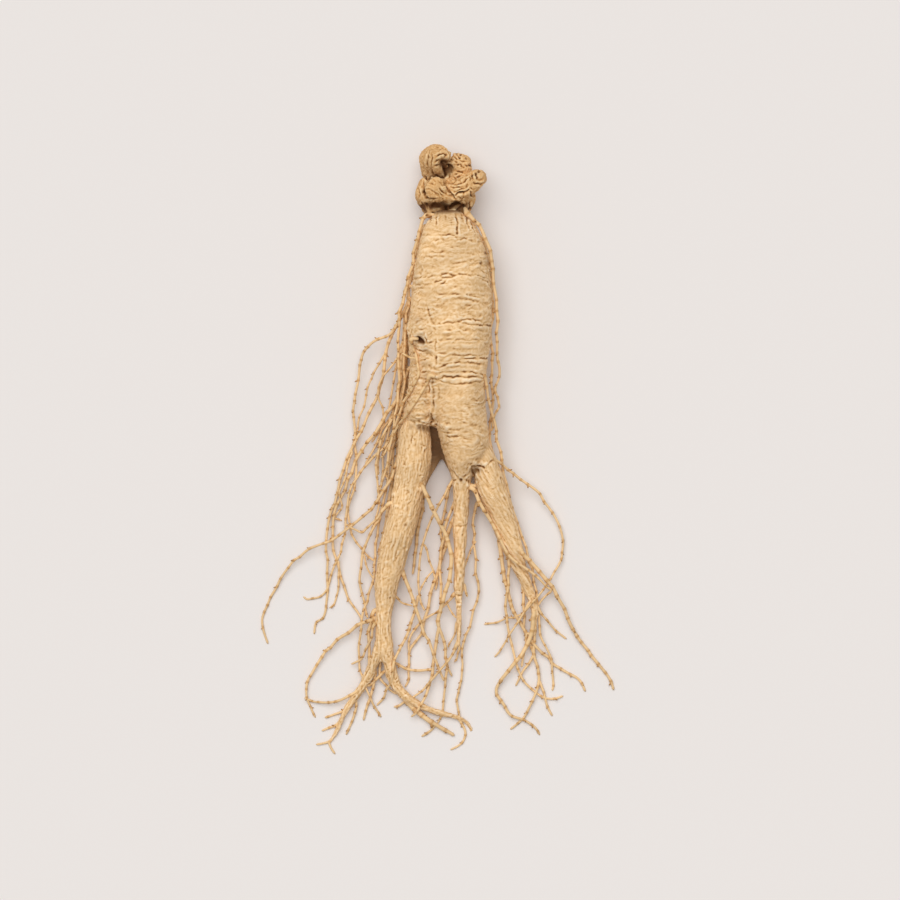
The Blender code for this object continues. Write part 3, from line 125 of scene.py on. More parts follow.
# %% Where the rootlets run
# Each rootlet: what it grows from, its radius at the root and at the tip, and the points that it runs
# through. A height of 0 lays it on the table.
ROOTLETS = {
    "neck_left": ("trunk", 0.6, 0.45, [
        (-3.6, 75.2, 11), (-5.6, 70, 11.5), (-7.6, 62.5, 11.5), (-9.4, 55, 11), (-10.6, 49.5, 10.5),
        (-12.2, 44.5, 10), (-12.6, 38, 9.5), (-12.6, 31, 9), (-12.5, 23, 8.5), (-13, 15.5, 8),
        (-13.9, 9, 7.5), (-15, 3, 7), (-16.2, -3, 6), (-17.3, -8, 5), (-18.6, -12.5, 4), (-19.2, -17, 3)]),
    "left_elbow": ("trunk", 0.55, 0.4, [
        (-9.8, 52, 9.5), (-11.3, 46, 9), (-12.9, 41, 8), (-15, 37.7, 7), (-18, 36, 6), (-21, 34.6, 5),
        (-23.3, 32.6, 4.4), (-24.7, 30, 4), (-25.2, 26, 3.6), (-25.9, 21.5, 3.2), (-26.8, 16.5, 2.8),
        (-27, 11, 2.6), (-26.9, 6, 2.4), (-26.9, 1.5, 2.2), (-26.3, -3, 2), (-26.2, -8, 2),
        (-27, -12.5, 2.2), (-28.3, -17, 2.2), (-28.8, -21, 2), (-28.4, -24.8, 2.5), (-27, -28.3, 2.5),
        (-24.6, -32, 2.2), (-22.3, -34.3, 2), (-20.2, -35.8, 2)]),
    "left_outer": ("trunk", 0.65, 0.4, [
        (-9.5, 48, 8), (-11.5, 43, 7), (-14.2, 38, 6.2), (-16, 34, 5.4), (-17.1, 30.5, 5),
        (-17.4, 26.5, 4.6), (-17.8, 22.7, 4.2), (-19.2, 18.8, 3.8), (-20.5, 15, 3.5), (-22.5, 11.2, 3.2),
        (-24.2, 7.5, 3), (-26, 4, 3.2), (-28.2, 0.3, 2.8), (-29.8, -3, 2.2), (-30.9, -7.5, 1.8),
        (-32, -12, 1.6), (-33.3, -16.5, 1.5), (-34.8, -20.5, 1.5), (-35.6, -25, 2.2), (-35.8, -30, 2.4),
        (-35.7, -36, 1.5), (-35.5, -41, 1), (-35.5, -45, 0.8), (-35.8, -48.5, 0.5), (-36.2, -51.5, 0),
        (-37.4, -54.2, 0), (-39.2, -56, 0), (-39.9, -59.2, 0)]),
    "left_fine": ("left_outer", 0.4, 0.35, [
        (-17, 31, 5), (-18.6, 28, 4.4), (-20.3, 24.8, 3.8), (-21.8, 21.8, 3.4), (-22.8, 18, 3),
        (-23.7, 14.3, 2.6), (-25, 11, 2.3), (-25.8, 7.6, 2), (-26.2, 4.5, 1.6), (-27.3, 1, 1.2),
        (-28.7, -3, 1)]),
    "left_thick": ("trunk", 0.8, 0.4, [
        (-9.3, 46, 7), (-10.8, 39, 6), (-11.6, 31, 5.4), (-12, 23, 5), (-13.2, 17.5, 4.8),
        (-15.3, 13, 4.6), (-17.6, 9.5, 4.3), (-20, 6, 3.9), (-22.6, 2.4, 3.5), (-25, -0.8, 3),
        (-27, -4, 2.6), (-28.4, -8, 2.3), (-29.6, -12, 2), (-31.2, -15.5, 1.8), (-33, -19.3, 1.6),
        (-33.8, -23.5, 1.6), (-34, -28, 1.8), (-33.8, -32, 1.4), (-32.8, -35.5, 1.4), (-31.8, -39, 1.2),
        (-31, -42.5, 1), (-29.6, -46, 0.8), (-27.9, -49.3, 0.8), (-26, -52, 1), (-24.6, -54.3, 1.5)]),
    "scar_strand": ("branch_scar", 0.55, 0.4, [
        (-8.4, 35.2, 15.5), (-7.8, 32.2, 16.8), (-6.8, 29.8, 17.6), (-6.4, 27, 18.2), (-6.1, 24.5, 18.4),
        (-6.6, 22.8, 18), (-7.6, 20.4, 16.8), (-9.5, 17.5, 15), (-11.2, 14.4, 12.5), (-12.8, 10.5, 10),
        (-13.6, 8, 8), (-14.8, 4, 5.5), (-17, 1.3, 4.5), (-19.5, -1, 4), (-22, -3.8, 3.4), (-24, -6, 3),
        (-26, -9, 2.8), (-27.8, -11.5, 2.8), (-28.9, -14.5, 2.8), (-29.2, -18, 2.6), (-29.6, -22.5, 2.8),
        (-30.2, -26.5, 3), (-31.1, -30.5, 2.4), (-31.9, -34, 2.2), (-33.4, -37.5, 1.6), (-34.4, -40.5, 1),
        (-35.2, -43.5, 0.6)]),
    "left_inner_fork": ("scar_strand", 0.35, 0.35, [
        (-32, -36, 2), (-31.9, -40, 1.4), (-31.9, -43.5, 1), (-32.4, -46.5, 0.5), (-33.5, -49, 0),
        (-34.9, -50.8, 0)]),
    "left_outer_second": ("left_outer", 0.4, 0.35, [
        (-27.5, -1, 3.4), (-29.3, -6, 3), (-30.3, -10.5, 2.8), (-31.8, -14, 2.6), (-30.9, -18, 2.2),
        (-32.3, -20.3, 1.5), (-33.3, -22, 0.8), (-31, -22.7, 0.3)]),
    "left_twig": ("scar_strand", 0.4, 0.35, [
        (-35.6, -44.6, 0.8), (-36.8, -46.2, 0.5), (-38.4, -47.4, 0), (-40.2, -48, 0), (-42.2, -48.2, 0),
        (-43.3, -47.2, 0)]),
    "flank_low": ("trunk", 0.6, 0.4, [
        (-5, 71, 8), (-6.8, 64, 7.5), (-8.6, 56, 7), (-9.6, 48, 6), (-10.3, 40, 5), (-10.6, 32, 4),
        (-10.4, 24, 3.5), (-10.8, 17, 3.2), (-12.3, 11, 3.2), (-13.9, 5, 3), (-15, -1, 3),
        (-15.9, -6, 3.2), (-16.3, -11, 3.4), (-17.3, -16, 3), (-18.6, -21, 2.6), (-19.7, -26, 2.4),
        (-20.2, -31, 2.2), (-20.5, -36, 2.2), (-20.9, -41, 2.6), (-22, -45.5, 3), (-23.2, -50, 2.6),
        (-24.2, -54.5, 3.2), (-24.9, -59, 2.6), (-25.5, -63.5, 2), (-25.3, -68, 1.6), (-24.5, -72.5, 1.6),
        (-23.3, -76, 2.6), (-21.9, -79.7, 2), (-20.3, -83, 0.8), (-18.4, -86, 0)]),
    "flank_middle": ("trunk", 0.55, 0.4, [
        (-7.8, 60, 9), (-9, 52, 8.4), (-10, 44, 8), (-10.9, 36, 7.4), (-10.8, 28, 6.8), (-10.9, 21, 6.4),
        (-12.2, 15, 6), (-14.5, 10, 5.8), (-17, 6, 5.4), (-18.7, 2, 5), (-19.5, -3, 4.6),
        (-19.8, -8, 4.4), (-19.4, -12, 4.2), (-19, -16, 4), (-19.4, -20, 3.6), (-20.3, -24, 3.2),
        (-21.6, -27.5, 3)]),
    "left_cross": ("flank_middle", 0.4, 0.35, [
        (-11.2, 31.5, 6.2), (-13.4, 28.6, 5.8), (-15.6, 26, 5.6), (-17.4, 23.4, 5.4), (-19, 20, 5),
        (-19.2, 16.5, 4.4), (-18.2, 13.5, 3.8), (-17.4, 10.5, 3), (-18.3, 6, 2.4), (-19, 2, 2)]),
    "left_cross_inner": ("flank_low", 0.45, 0.35, [
        (-11.8, 34, 4.6), (-13.4, 27, 4.2), (-14.4, 21.5, 3.6), (-15.1, 16, 3), (-16.6, 11, 2.2),
        (-18.9, 6.5, 2.2), (-21.3, 2.5, 1.6)]),
    "seam_strand": ("trunk", 0.6, 0.4, [
        (-2.4, 23.6, 18), (-3.3, 21.2, 19), (-5.2, 18.5, 18.6), (-7.2, 15.5, 17), (-9.5, 12.2, 14.5),
        (-11.3, 10, 12.5), (-12.8, 8, 10), (-14.2, 5.5, 7.5), (-15.6, 2, 6), (-17, -0.8, 5.2),
        (-18.4, -2.5, 4.8)]),
    "scar_curl": ("scar_strand", 0.35, 0.35, [
        (-7.6, 29.2, 17.6), (-9, 29.2, 17), (-10.3, 29.8, 17), (-11.4, 30.9, 17.3)]),
    "left_knot_twig": ("flank_low", 0.35, 0.35, [
        (-17, -7.5, 4.6), (-16.2, -10, 4.4), (-17.4, -12.8, 4), (-18.8, -14.8, 4)]),
    "left_sweep": ("left_leg", 0.6, 0.4, [
        (-12.8, -4.5, 5.5), (-14.8, -9, 5), (-16.8, -12.5, 4.8), (-18.8, -15.6, 4.5), (-21, -18.3, 4.2),
        (-23.6, -20.7, 4), (-26.6, -23.4, 4), (-29.6, -25.7, 4.2), (-32.6, -27.8, 3.8),
        (-35.8, -29.4, 3.6), (-39, -30.8, 3.2), (-42.6, -32.8, 2.6), (-45.8, -35.4, 2),
        (-48.6, -38.4, 1.5), (-51, -42, 1), (-53, -45.8, 0.6), (-54.8, -49.4, 0.3), (-56.2, -52.6, 0),
        (-56.7, -55, 0), (-56.2, -58.2, 0), (-54.8, -62.3, 0)]),
    "left_leg_hook": ("left_leg", 0.6, 0.35, [
        (-15.4, -17, 8.5), (-17.3, -18.8, 7.5), (-19.2, -21.4, 6), (-21.4, -23.4, 5), (-23.2, -25, 4.4),
        (-24.8, -26.4, 4), (-26.4, -25.8, 4.2), (-28.2, -25, 4.6), (-29.6, -23.8, 4.8)]),
    "left_leg_long": ("left_leg", 0.6, 0.4, [
        (-15.6, -17.3, 7.5), (-17.6, -20, 6.2), (-19.4, -23, 5.2), (-21, -26.2, 4.4), (-22.4, -29.4, 4),
        (-23.7, -33, 3.8), (-24.6, -36.8, 3.2), (-25.1, -40.5, 2.6), (-24.9, -44, 2.2), (-24.2, -47.5, 2),
        (-23.4, -51, 2), (-22.6, -54, 2.4)]),
    "left_leg_short": ("left_leg_long", 0.35, 0.35, [
        (-23.7, -34, 3.6), (-22.8, -37.6, 3), (-21.6, -40, 2.6), (-20.6, -41.6, 3)]),
    "left_loop": ("left_leg", 0.75, 0.35, [
        (-19, -54, 3), (-22, -54.9, 3.2), (-25, -56.2, 3), (-28, -58.2, 2.6), (-31, -60.2, 2.2),
        (-33.8, -62.6, 2), (-36.4, -65.4, 1.8), (-38.5, -68.4, 1.5), (-40.2, -71.3, 1.2), (-41.7, -74, 1),
        (-42.5, -77, 0.9), (-42.2, -80.2, 0.8), (-41.2, -82.8, 0.3), (-40.2, -84.8, 0), (-39.5, -86.1, 0)]),
    "left_toe": ("left_leg", 1.9, 0.55, [
        (-18.6, -62, 3.5), (-20.2, -67, 3.4), (-22, -71.5, 3.2), (-24, -75.6, 2.8), (-26.4, -79, 2.4),
        (-28.7, -82.2, 1.8), (-30.5, -85.4, 1.3), (-31.8, -88.6, 0.9), (-33, -91.3, 0.6),
        (-34.3, -93.2, 0.4), (-35.4, -94.3, 0.3)]),
    "left_toe_loop": ("left_toe", 0.6, 0.35, [
        (-23.8, -75.6, 3), (-26, -77.4, 3), (-28.6, -79, 2.4), (-31.6, -80.4, 1.8), (-34.6, -81.1, 1.3),
        (-37.6, -81.3, 1), (-40.2, -81, 0.8), (-42.2, -80.1, 0.8), (-43, -79.7, 0.8)]),
    "left_toe_tip_outer": ("left_toe", 0.45, 0.4, [
        (-35.2, -94, 0.4), (-37.2, -94.5, 0.2), (-39.2, -94.8, 0)]),
    "left_toe_tip_inner": ("left_toe", 0.45, 0.4, [
        (-35.2, -94, 0.4), (-34.6, -95.6, 0.2), (-33.9, -96.8, 0), (-33.2, -97.8, 0)]),
    "left_toe_third": ("left_toe", 0.5, 0.4, [
        (-28.9, -82.7, 1.6), (-31.2, -84, 1), (-33.6, -85, 0.4), (-36.4, -86.1, 0)]),
    "left_toe_fourth": ("left_toe", 0.5, 0.4, [
        (-30.8, -86.2, 1.2), (-33, -88.2, 0.6), (-35.2, -89.4, 0.2), (-37.4, -90.4, 0)]),
    "left_toe_fifth": ("left_toe", 0.5, 0.4, [
        (-26.4, -79.4, 2), (-26.5, -82.6, 1.2), (-27.2, -85.8, 0.6), (-28.3, -88.6, 0.2),
        (-29.6, -91.6, 0)]),
    "left_toe_inner": ("left_toe", 0.6, 0.45, [
        (-20.4, -70.5, 2.4), (-21, -75, 1.8), (-22, -79.5, 1.2), (-23.2, -83.4, 0.5), (-24, -87, 0)]),
    "toe_bridge": ("right_toe", 0.55, 0.5, [
        (-16.6, -70.6, 2.4), (-19, -72.8, 2.2), (-21.4, -74.7, 2), (-23.6, -76, 2.4)]),
    "toe_hook": ("right_toe", 0.5, 0.4, [
        (-18.7, -68, 2.2), (-18.6, -72.8, 1.6), (-17.2, -75.8, 1.2), (-15.2, -77.6, 1),
        (-13.2, -78.5, 1.2)]),
    "ankle_twig": ("left_leg", 0.5, 0.4, [
        (-20.4, -55.5, 5), (-21.8, -60, 4.4), (-23.3, -64, 3.6), (-24.8, -67.2, 2.8), (-26.4, -68.2, 2),
        (-27.9, -68.9, 1.6)]),
    "ankle_strand": ("left_leg", 0.65, 0.55, [
        (-20.4, -52, 3.5), (-21.8, -57, 3.2), (-22.2, -62, 3), (-22, -67, 3), (-22.4, -71, 3)]),
    "right_toe": ("left_leg", 2.2, 0.45, [
        (-17, -62, 3.6), (-15.9, -67, 3.4), (-15, -71.5, 3.1), (-13.6, -75.2, 2.8), (-11.4, -78.2, 2.5),
        (-8.6, -80.6, 2.2), (-5.2, -82.5, 1.9), (-1.6, -83.9, 1.6), (2, -84.9, 1.3), (5, -85.6, 1),
        (7.4, -86.6, 0.8), (9.2, -87.6, 0.5), (10.1, -89, 0.2), (10.8, -90.6, 0)]),
    "toe_curl": ("right_toe", 0.5, 0.35, [
        (6, -86, 0.9), (7.6, -87.6, 0.7), (8.5, -89.6, 0.4), (8.7, -91.5, 0.2), (8, -93.6, 0),
        (6.4, -95.2, 0), (4, -96.5, 0)]),
    "blunt_toe": ("right_toe", 1.4, 0.65, [
        (-14.3, -73.8, 2.6), (-12.9, -77, 2.1), (-10.8, -79.8, 1.8), (-8.4, -82.6, 1.5), (-5.8, -85, 1.3),
        (-2.8, -87.2, 1.1), (0.4, -88.9, 0.9), (3.2, -90.4, 0.7), (5.2, -91.9, 0.5)]),
    "blunt_toe_twig": ("blunt_toe", 0.5, 0.4, [
        (-0.9, -88.4, 0.9), (-2.2, -90.2, 0.5), (-3.7, -91.3, 0.2), (-5.3, -92.2, 0)]),
    "blunt_toe_spur": ("blunt_toe", 0.5, 0.4, [
        (-10.2, -80.4, 1.4), (-12.2, -81.8, 0.8), (-14.2, -82.7, 0.4)]),
    "front_strand": ("left_leg", 0.8, 0.75, [
        (-5.2, -11.4, 10.5), (-4.1, -13.8, 11.5), (-2.6, -17, 11.5), (-0.9, -20.6, 11), (0.8, -24, 10.4),
        (2.3, -27.6, 9.8), (3.5, -31.2, 9.2), (4.3, -35, 8.6), (4.2, -39, 7.8), (3.2, -43.2, 6.8),
        (2, -47.4, 5.8), (1, -51.4, 4.8), (0.4, -55, 4), (0.3, -57.2, 3.6)]),
    "front_left_fork": ("front_strand", 0.65, 0.45, [
        (0.3, -57, 3.6), (-0.5, -60.2, 3.2), (-0.9, -63.5, 2.8), (-1.3, -67.3, 2.6), (-1.7, -71, 2.4),
        (-2.4, -74.2, 2.2), (-3.4, -77.4, 2.6), (-4.6, -80, 3.2), (-5.9, -82.4, 3.5), (-7.1, -84.4, 2.6),
        (-8.6, -85.8, 1.6)]),
    "front_right_fork": ("front_strand", 0.6, 0.35, [
        (0.3, -57, 3.6), (1.2, -59.8, 3.2), (1.9, -62.5, 2.8), (2.4, -66, 2.6), (2.8, -69.5, 2.2),
        (2.4, -73.5, 2), (2.1, -77.5, 1.8), (1.9, -81, 1.2), (1.3, -84, 0.6), (0.6, -86.2, 0.5),
        (-0.2, -88, 0.6)]),
    "crossing_strand": ("middle_leg", 0.5, 0.4, [
        (5.2, -8.6, 8), (3.6, -11.6, 7.8), (1.6, -15.3, 7.2), (-0.2, -18.8, 6.6), (-2, -22.4, 6),
        (-3.6, -26.2, 5.4), (-4.9, -30, 4.8), (-5.8, -34, 4.2), (-6.3, -38.4, 3.6), (-6.5, -42.5, 3.2),
        (-6.2, -46.2, 2.8), (-5.3, -49.4, 2.4), (-4.3, -51.6, 2.4)]),
    "middle_left": ("crossing_strand", 0.6, 0.4, [
        (-6.3, -46.8, 2.8), (-7, -49.4, 2.6), (-7.9, -53, 2.4), (-9.1, -57, 2.6), (-10.6, -60.2, 3),
        (-12.2, -63.4, 3.8), (-13.5, -66.8, 5), (-14.4, -69.8, 5.7), (-15, -72.8, 5.2), (-16.1, -76, 3),
        (-17.5, -79.4, 1.4), (-19.7, -82.2, 0.2)]),
    "left_leg_front": ("left_leg", 0.75, 0.45, [
        (-11.6, -39, 5.5), (-10.4, -41.8, 5.5), (-9, -45.2, 5.2), (-7.7, -49, 5), (-6.6, -52.6, 4.8),
        (-5.5, -56, 4.4), (-4.1, -59.5, 4), (-2.8, -62.6, 3.8), (-1.5, -65.8, 4), (-0.2, -69, 3.6),
        (0.9, -71.8, 3), (1.9, -74.2, 2.4)]),
    "middle_back": ("middle_leg", 0.6, 0.5, [
        (6, -16, 6), (4.6, -19, 5.4), (3, -23, 4.6), (1.8, -27, 4), (1, -31, 3.4), (0.6, -35, 3),
        (0.6, -39, 2.8), (0.9, -43, 2.8), (1, -47, 3), (0.9, -50, 3.4)]),
    "middle_back_long": ("middle_leg", 0.8, 0.4, [
        (5.6, -20.5, 5), (3.6, -25.5, 3.4), (2.2, -31, 2.4), (0.6, -36.5, 1.8), (-0.9, -41.5, 1.6),
        (-2.3, -46.2, 1.5), (-3.4, -50.6, 1.5), (-4.4, -54.8, 1.4), (-5.4, -58.6, 1.2), (-7.2, -61.6, 1),
        (-8.9, -64.2, 0.9), (-9.5, -67.6, 0.8), (-9.8, -71.3, 0.6), (-9.6, -74.2, 0.3), (-10.6, -76.3, 0)]),
    "middle_fine": ("crossing_strand", 0.4, 0.4, [
        (-4.3, -30.6, 4.2), (-3.5, -32.4, 3.6), (-2.7, -35.4, 3), (-1.8, -38.6, 2.4), (-0.9, -41.6, 2)]),
    "middle_fine_fork": ("middle_fine", 0.35, 0.35, [
        (-1.6, -38.9, 2.4), (-3.2, -40.6, 2.4), (-4.8, -43.2, 2.6), (-6, -45.8, 2.8)]),
    "middle_low": ("middle_back_long", 0.5, 0.4, [
        (-4.9, -55, 1.8), (-7, -57, 1.8), (-8.7, -59.6, 2), (-9.3, -62.2, 1.6), (-9.4, -65, 1.2)]),
    "middle_bridge": ("middle_leg", 0.5, 0.4, [
        (5.4, -46, 4.5), (3.8, -48.3, 3.2), (2, -50.2, 2.6), (0, -51.8, 2.2), (-2.2, -53, 1.9),
        (-4.2, -54.3, 1.7)]),
    "toe_cross": ("right_toe", 0.55, 0.45, [
        (-14.6, -68.4, 2.6), (-12, -69.6, 2.2), (-9, -70.5, 1.9), (-6, -70.9, 1.7), (-3.4, -70.8, 1.8),
        (-1.2, -70.4, 2.2)]),
    "long_cross": ("middle_leg", 0.5, 0.4, [
        (6.4, -61, 2.8), (5.2, -64.6, 2.6), (3.4, -67.3, 3.8), (1, -69.7, 4.4), (-0.6, -71.8, 3.8),
        (-2.2, -74.2, 3.6), (-4.2, -76.4, 2.6), (-6.2, -78, 2.2), (-8.2, -79.6, 2.4)]),
    "right_middle_long": ("right_leg", 0.5, 0.4, [
        (12.6, -17, 4), (11.6, -21.5, 3.5), (11.6, -27, 3), (11.9, -32, 2.6), (12.2, -37, 2.2),
        (12.6, -41.5, 2), (12.7, -45.5, 1.8), (12, -49.6, 1.8), (11, -53.6, 1.8), (9.9, -57.2, 2),
        (8.8, -60, 2.2), (7.9, -62.8, 2.2), (7.6, -66, 1.8), (7.8, -69, 1.5), (7.4, -72.3, 1.2),
        (6.7, -75.8, 1), (6.4, -79.8, 0.8), (6.7, -84, 0.8), (7, -86.4, 0.8)]),
    "middle_spur": ("middle_leg", 0.4, 0.4, [(8.2, -43, 5), (8.8, -45.5, 4.4), (9.4, -47.2, 4)]),
    "middle_end_fork": ("middle_leg", 0.35, 0.35, [
        (5.9, -55.5, 3), (5.2, -59.6, 2.2), (4.2, -62, 1.6), (3.2, -63.5, 1.2)]),
    "bridge_fork": ("middle_bridge", 0.35, 0.35, [
        (2.8, -49.2, 2.8), (4.2, -51.6, 2.8), (5.8, -54, 3)]),
    "cross_fork": ("long_cross", 0.4, 0.4, [
        (3, -67.6, 3), (3.2, -70, 2), (3.8, -71.3, 1.4), (4.5, -72.8, 1)]),
    "right_link": ("right_middle_long", 0.35, 0.35, [
        (12, -29.5, 2.8), (10.4, -32, 2.6), (9.4, -35, 2.6), (8.6, -37.5, 3)]),
    "left_leg_twig": ("left_leg", 0.35, 0.35, [
        (-13.2, -47, 3.5), (-11.8, -48.8, 2.8), (-10.3, -49.8, 2.2), (-8.3, -50.1, 2.2)]),
    "middle_end_twig": ("middle_leg", 0.35, 0.35, [
        (6.5, -61, 2.6), (6.9, -63.8, 2), (6.2, -66, 1.4), (5.2, -68.2, 1)]),
    "neck_right": ("right_base_knob", 0.75, 0.4, [
        (9.2, 75.8, 13), (11, 74.2, 13.5), (13, 71.4, 13.2), (14.9, 68, 12.8), (16.3, 64, 12.4),
        (17.2, 59, 12), (17.8, 53, 11.5), (18.4, 47, 11), (18.8, 41, 10.2), (18.8, 35, 9.4),
        (18.9, 30, 8.6), (19.6, 26, 8), (19.3, 22.4, 7.4), (18.6, 19.6, 7), (18.9, 16.8, 6.8),
        (19.3, 13.9, 6.6), (18.6, 11.6, 6.4), (17.7, 9, 6.2), (16.9, 6, 6.2)]),
    "shoulder_right": ("middle_leg", 0.55, 0.4, [
        (14.4, 23.8, 14), (15.3, 20.4, 13), (16, 16.6, 12), (16.8, 12.8, 11), (18, 9.4, 10),
        (18.8, 5.4, 9), (19.6, 1, 8), (20.5, -3.6, 7), (21.2, -8, 6.2), (22.2, -12, 5.6),
        (23.1, -15.8, 5), (24, -19, 4.6), (25.6, -22.8, 4.2), (27, -26.8, 3.8), (28.3, -31, 3.4),
        (29.3, -35, 3), (30.4, -39.4, 2.8), (31.4, -43.8, 2.6), (32, -48.4, 2.6), (32.2, -53, 2.4),
        (32.8, -57.5, 2.2), (33.8, -61.5, 2), (35.2, -65, 1.8), (36.2, -68.5, 1.4), (36.7, -72, 0.8),
        (36.9, -75, 0.3), (36.8, -77.4, 0)]),
    "flank_right": ("trunk", 0.6, 0.45, [
        (10.4, 73.6, 10), (13, 69.8, 9.5), (15.4, 64.6, 9), (16.8, 57, 8.6), (17.5, 50, 8.2),
        (17.8, 43.5, 8), (17.4, 37, 7.6), (17.4, 31, 7.2), (17.3, 26, 6.8), (17, 22, 6.4),
        (17.6, 18.6, 5.6), (17.6, 15, 5), (17.1, 11, 4.8), (16.7, 6.5, 5), (17, 2, 5.4), (17.9, -1.6, 6),
        (18.8, -4.2, 6.4)]),
    "right_sweep": ("right_leg", 0.55, 0.35, [
        (14, -3.2, 12.5), (16.4, -2.7, 12.6), (18.4, -3.4, 11), (20.4, -4.9, 8.5), (23, -6.8, 6.5),
        (26.2, -8.9, 5.2), (29.4, -11, 4.2), (32.2, -13.4, 3.4), (34.4, -16.2, 2.8), (36.4, -19.4, 2.3),
        (38.2, -22.6, 1.9), (39.5, -26, 1.6), (40.2, -29.8, 1.4), (40, -33.6, 1.4), (38.8, -37.4, 1.8),
        (36.8, -40.6, 2.6), (34.8, -43.4, 3.2), (32.6, -46.2, 4.4), (30.2, -48.8, 5.4),
        (27.4, -51.4, 3.8), (24.6, -53.3, 2.6), (21.6, -54.7, 1.6), (18.6, -55.6, 0.8), (14.9, -56.1, 0.2)]),
    "right_front": ("right_leg", 0.75, 0.4, [
        (10.2, -12, 9), (11.4, -13.2, 9.6), (12.8, -15.6, 9.8), (14.4, -18.6, 9.4), (16.2, -21.8, 8.4),
        (18, -25, 7.5), (19.8, -28.2, 7.4), (21.4, -31.2, 7.4), (23.2, -33.9, 7.4), (25.6, -36, 7.4),
        (28.2, -38, 6.6), (30.6, -40, 5.8), (33, -42.2, 5), (35, -44.2, 4.2), (36.2, -45.4, 3.6),
        (34.8, -46.8, 3), (33.2, -48.4, 2.8), (32.2, -50, 2.8)]),
    "right_outer": ("right_leg", 0.8, 0.5, [
        (25.8, -31.6, 6.5), (27.4, -34.2, 5.8), (29.8, -36.6, 5.2), (32.4, -39, 4.6), (35, -41.6, 4),
        (37.4, -44.6, 3.4), (39, -48, 2.9), (40.4, -51.4, 2.4), (42, -55, 2), (43.8, -58.2, 1.6),
        (45.8, -61.5, 1.3), (48, -64.5, 1), (50.2, -67.3, 0.8), (52.3, -69.8, 0.5), (54.3, -72.3, 0.2),
        (55.7, -74.7, 0), (56.5, -77.2, 0)]),
    "right_inner": ("right_leg", 0.8, 0.45, [
        (19.8, -29, 4.5), (20.3, -34, 4), (21.1, -39, 3.6), (22, -43.6, 3.2), (23.2, -48, 2.8),
        (24.8, -52.4, 2.6), (26.8, -56.4, 2.4), (29, -59.8, 2), (31.6, -62.8, 2.2), (34.2, -65.4, 1.2),
        (36.8, -68.2, 1), (39.6, -70.3, 0.8), (42.4, -71.9, 0.6), (44.9, -73.4, 0.3), (46.4, -75.2, 0.1),
        (47.4, -77.7, 0)]),
    "right_low": ("right_leg", 0.55, 0.4, [
        (22.6, -34.5, 5.5), (22.8, -39, 4.6), (22.5, -44, 4), (22, -48, 3.4), (21.8, -51.8, 3),
        (22.3, -55.6, 3), (23.1, -59.4, 2.8), (24, -63, 2.4), (25, -67, 2), (26, -71, 1.6),
        (27.6, -74.4, 1.2), (29.8, -77, 0.9), (32.4, -79, 0.8), (35, -80.2, 0.6), (37.6, -80.3, 0.2),
        (40.2, -79.2, 0)]),
    "right_end": ("right_leg", 0.9, 0.4, [
        (31, -52, 3.6), (30.6, -56, 3.6), (29.6, -60, 3.4), (28, -63.6, 3.2), (26, -66.6, 3),
        (23.8, -69.4, 2.6), (21.8, -72, 2.2), (20, -74.6, 1.8), (19.1, -77.2, 1.5), (19.8, -80, 1.2),
        (21.4, -82.6, 1), (23, -84.8, 0.9), (25.6, -86.3, 1.2), (28.4, -87.5, 0.8), (30.8, -89, 0.4),
        (32.7, -91.7, 0)]),
    "right_end_outer": ("right_leg", 0.65, 0.4, [
        (31.2, -55, 2.6), (31, -59.5, 2), (30.8, -63.6, 1.6), (31.2, -67, 1.4), (32.2, -70.4, 1.3),
        (32.6, -73.8, 1.2), (31.8, -77.2, 1.6), (30.6, -80.4, 1.4), (29.2, -83.4, 1.2),
        (27.8, -86.2, 0.6), (25.8, -88.2, 0.3), (23.3, -89.9, 0)]),
    "right_end_twig": ("right_end_outer", 0.5, 0.4, [
        (32.7, -74.4, 1), (33.4, -77.4, 0.8), (34.4, -80.6, 0.5), (35.5, -83.2, 0.3), (36.8, -85.6, 0)]),
    "right_end_inner": ("right_end_outer", 0.5, 0.4, [
        (30.9, -65.6, 1.6), (29.2, -68.4, 1.4), (27.4, -71, 1.4), (26.2, -73.6, 1), (25, -75.9, 0.3)]),
    "right_end_side": ("right_end", 0.45, 0.4, [
        (28.6, -59, 3), (28.2, -62.8, 1.8), (27.4, -66.4, 1.6), (26.9, -69.8, 1.4)]),
    "right_side_twig": ("right_leg", 0.45, 0.35, [
        (31.4, -49.6, 3.2), (33.6, -52.8, 2.4), (36.2, -55.9, 1.6), (38.8, -58.5, 0.8), (41.3, -60.8, 0.1)]),
    "right_inner_twig": ("right_leg", 0.45, 0.35, [
        (29.4, -49, 4), (27.4, -52.6, 4.4), (25.2, -56.2, 4.2), (22.9, -60, 3.9), (21.2, -62.8, 2),
        (19.8, -65, 1), (18.2, -66.6, 0.2)]),
    "right_link_low": ("right_leg", 0.6, 0.45, [
        (27.2, -43.5, 2.6), (27.5, -49, 2.2), (27.4, -54, 1.8), (28, -58.6, 1.6), (29.6, -62, 1.5),
        (30.6, -65.4, 1.5)]),
}
print("rootlets:", len(ROOTLETS), "with", sum(len(points) for *_, points in ROOTLETS.values()), "points")

# %% [markdown]
# ## Small helpers
#
# Dried skin is never even, so most of what follows asks one question over and over: how high is a slow
# random landscape at this point? Gradient noise answers it. Space is cut into cubes, each corner holds a
# random slope, and at a point the eight slopes around it are followed to the point and eased together.
# Stretching the point first stretches the wrinkles: long one way, close together the other way.
#
# Colours are picked as sRGB hex values, as one reads them off a photograph, and turned to linear light
# here. A node of a material is added with its settings and its links in one call, and an object with its
# data.

# %% Noise, colour, node and object helpers
SLOPE_COUNT = 256
NOISE_GAIN = 1.7


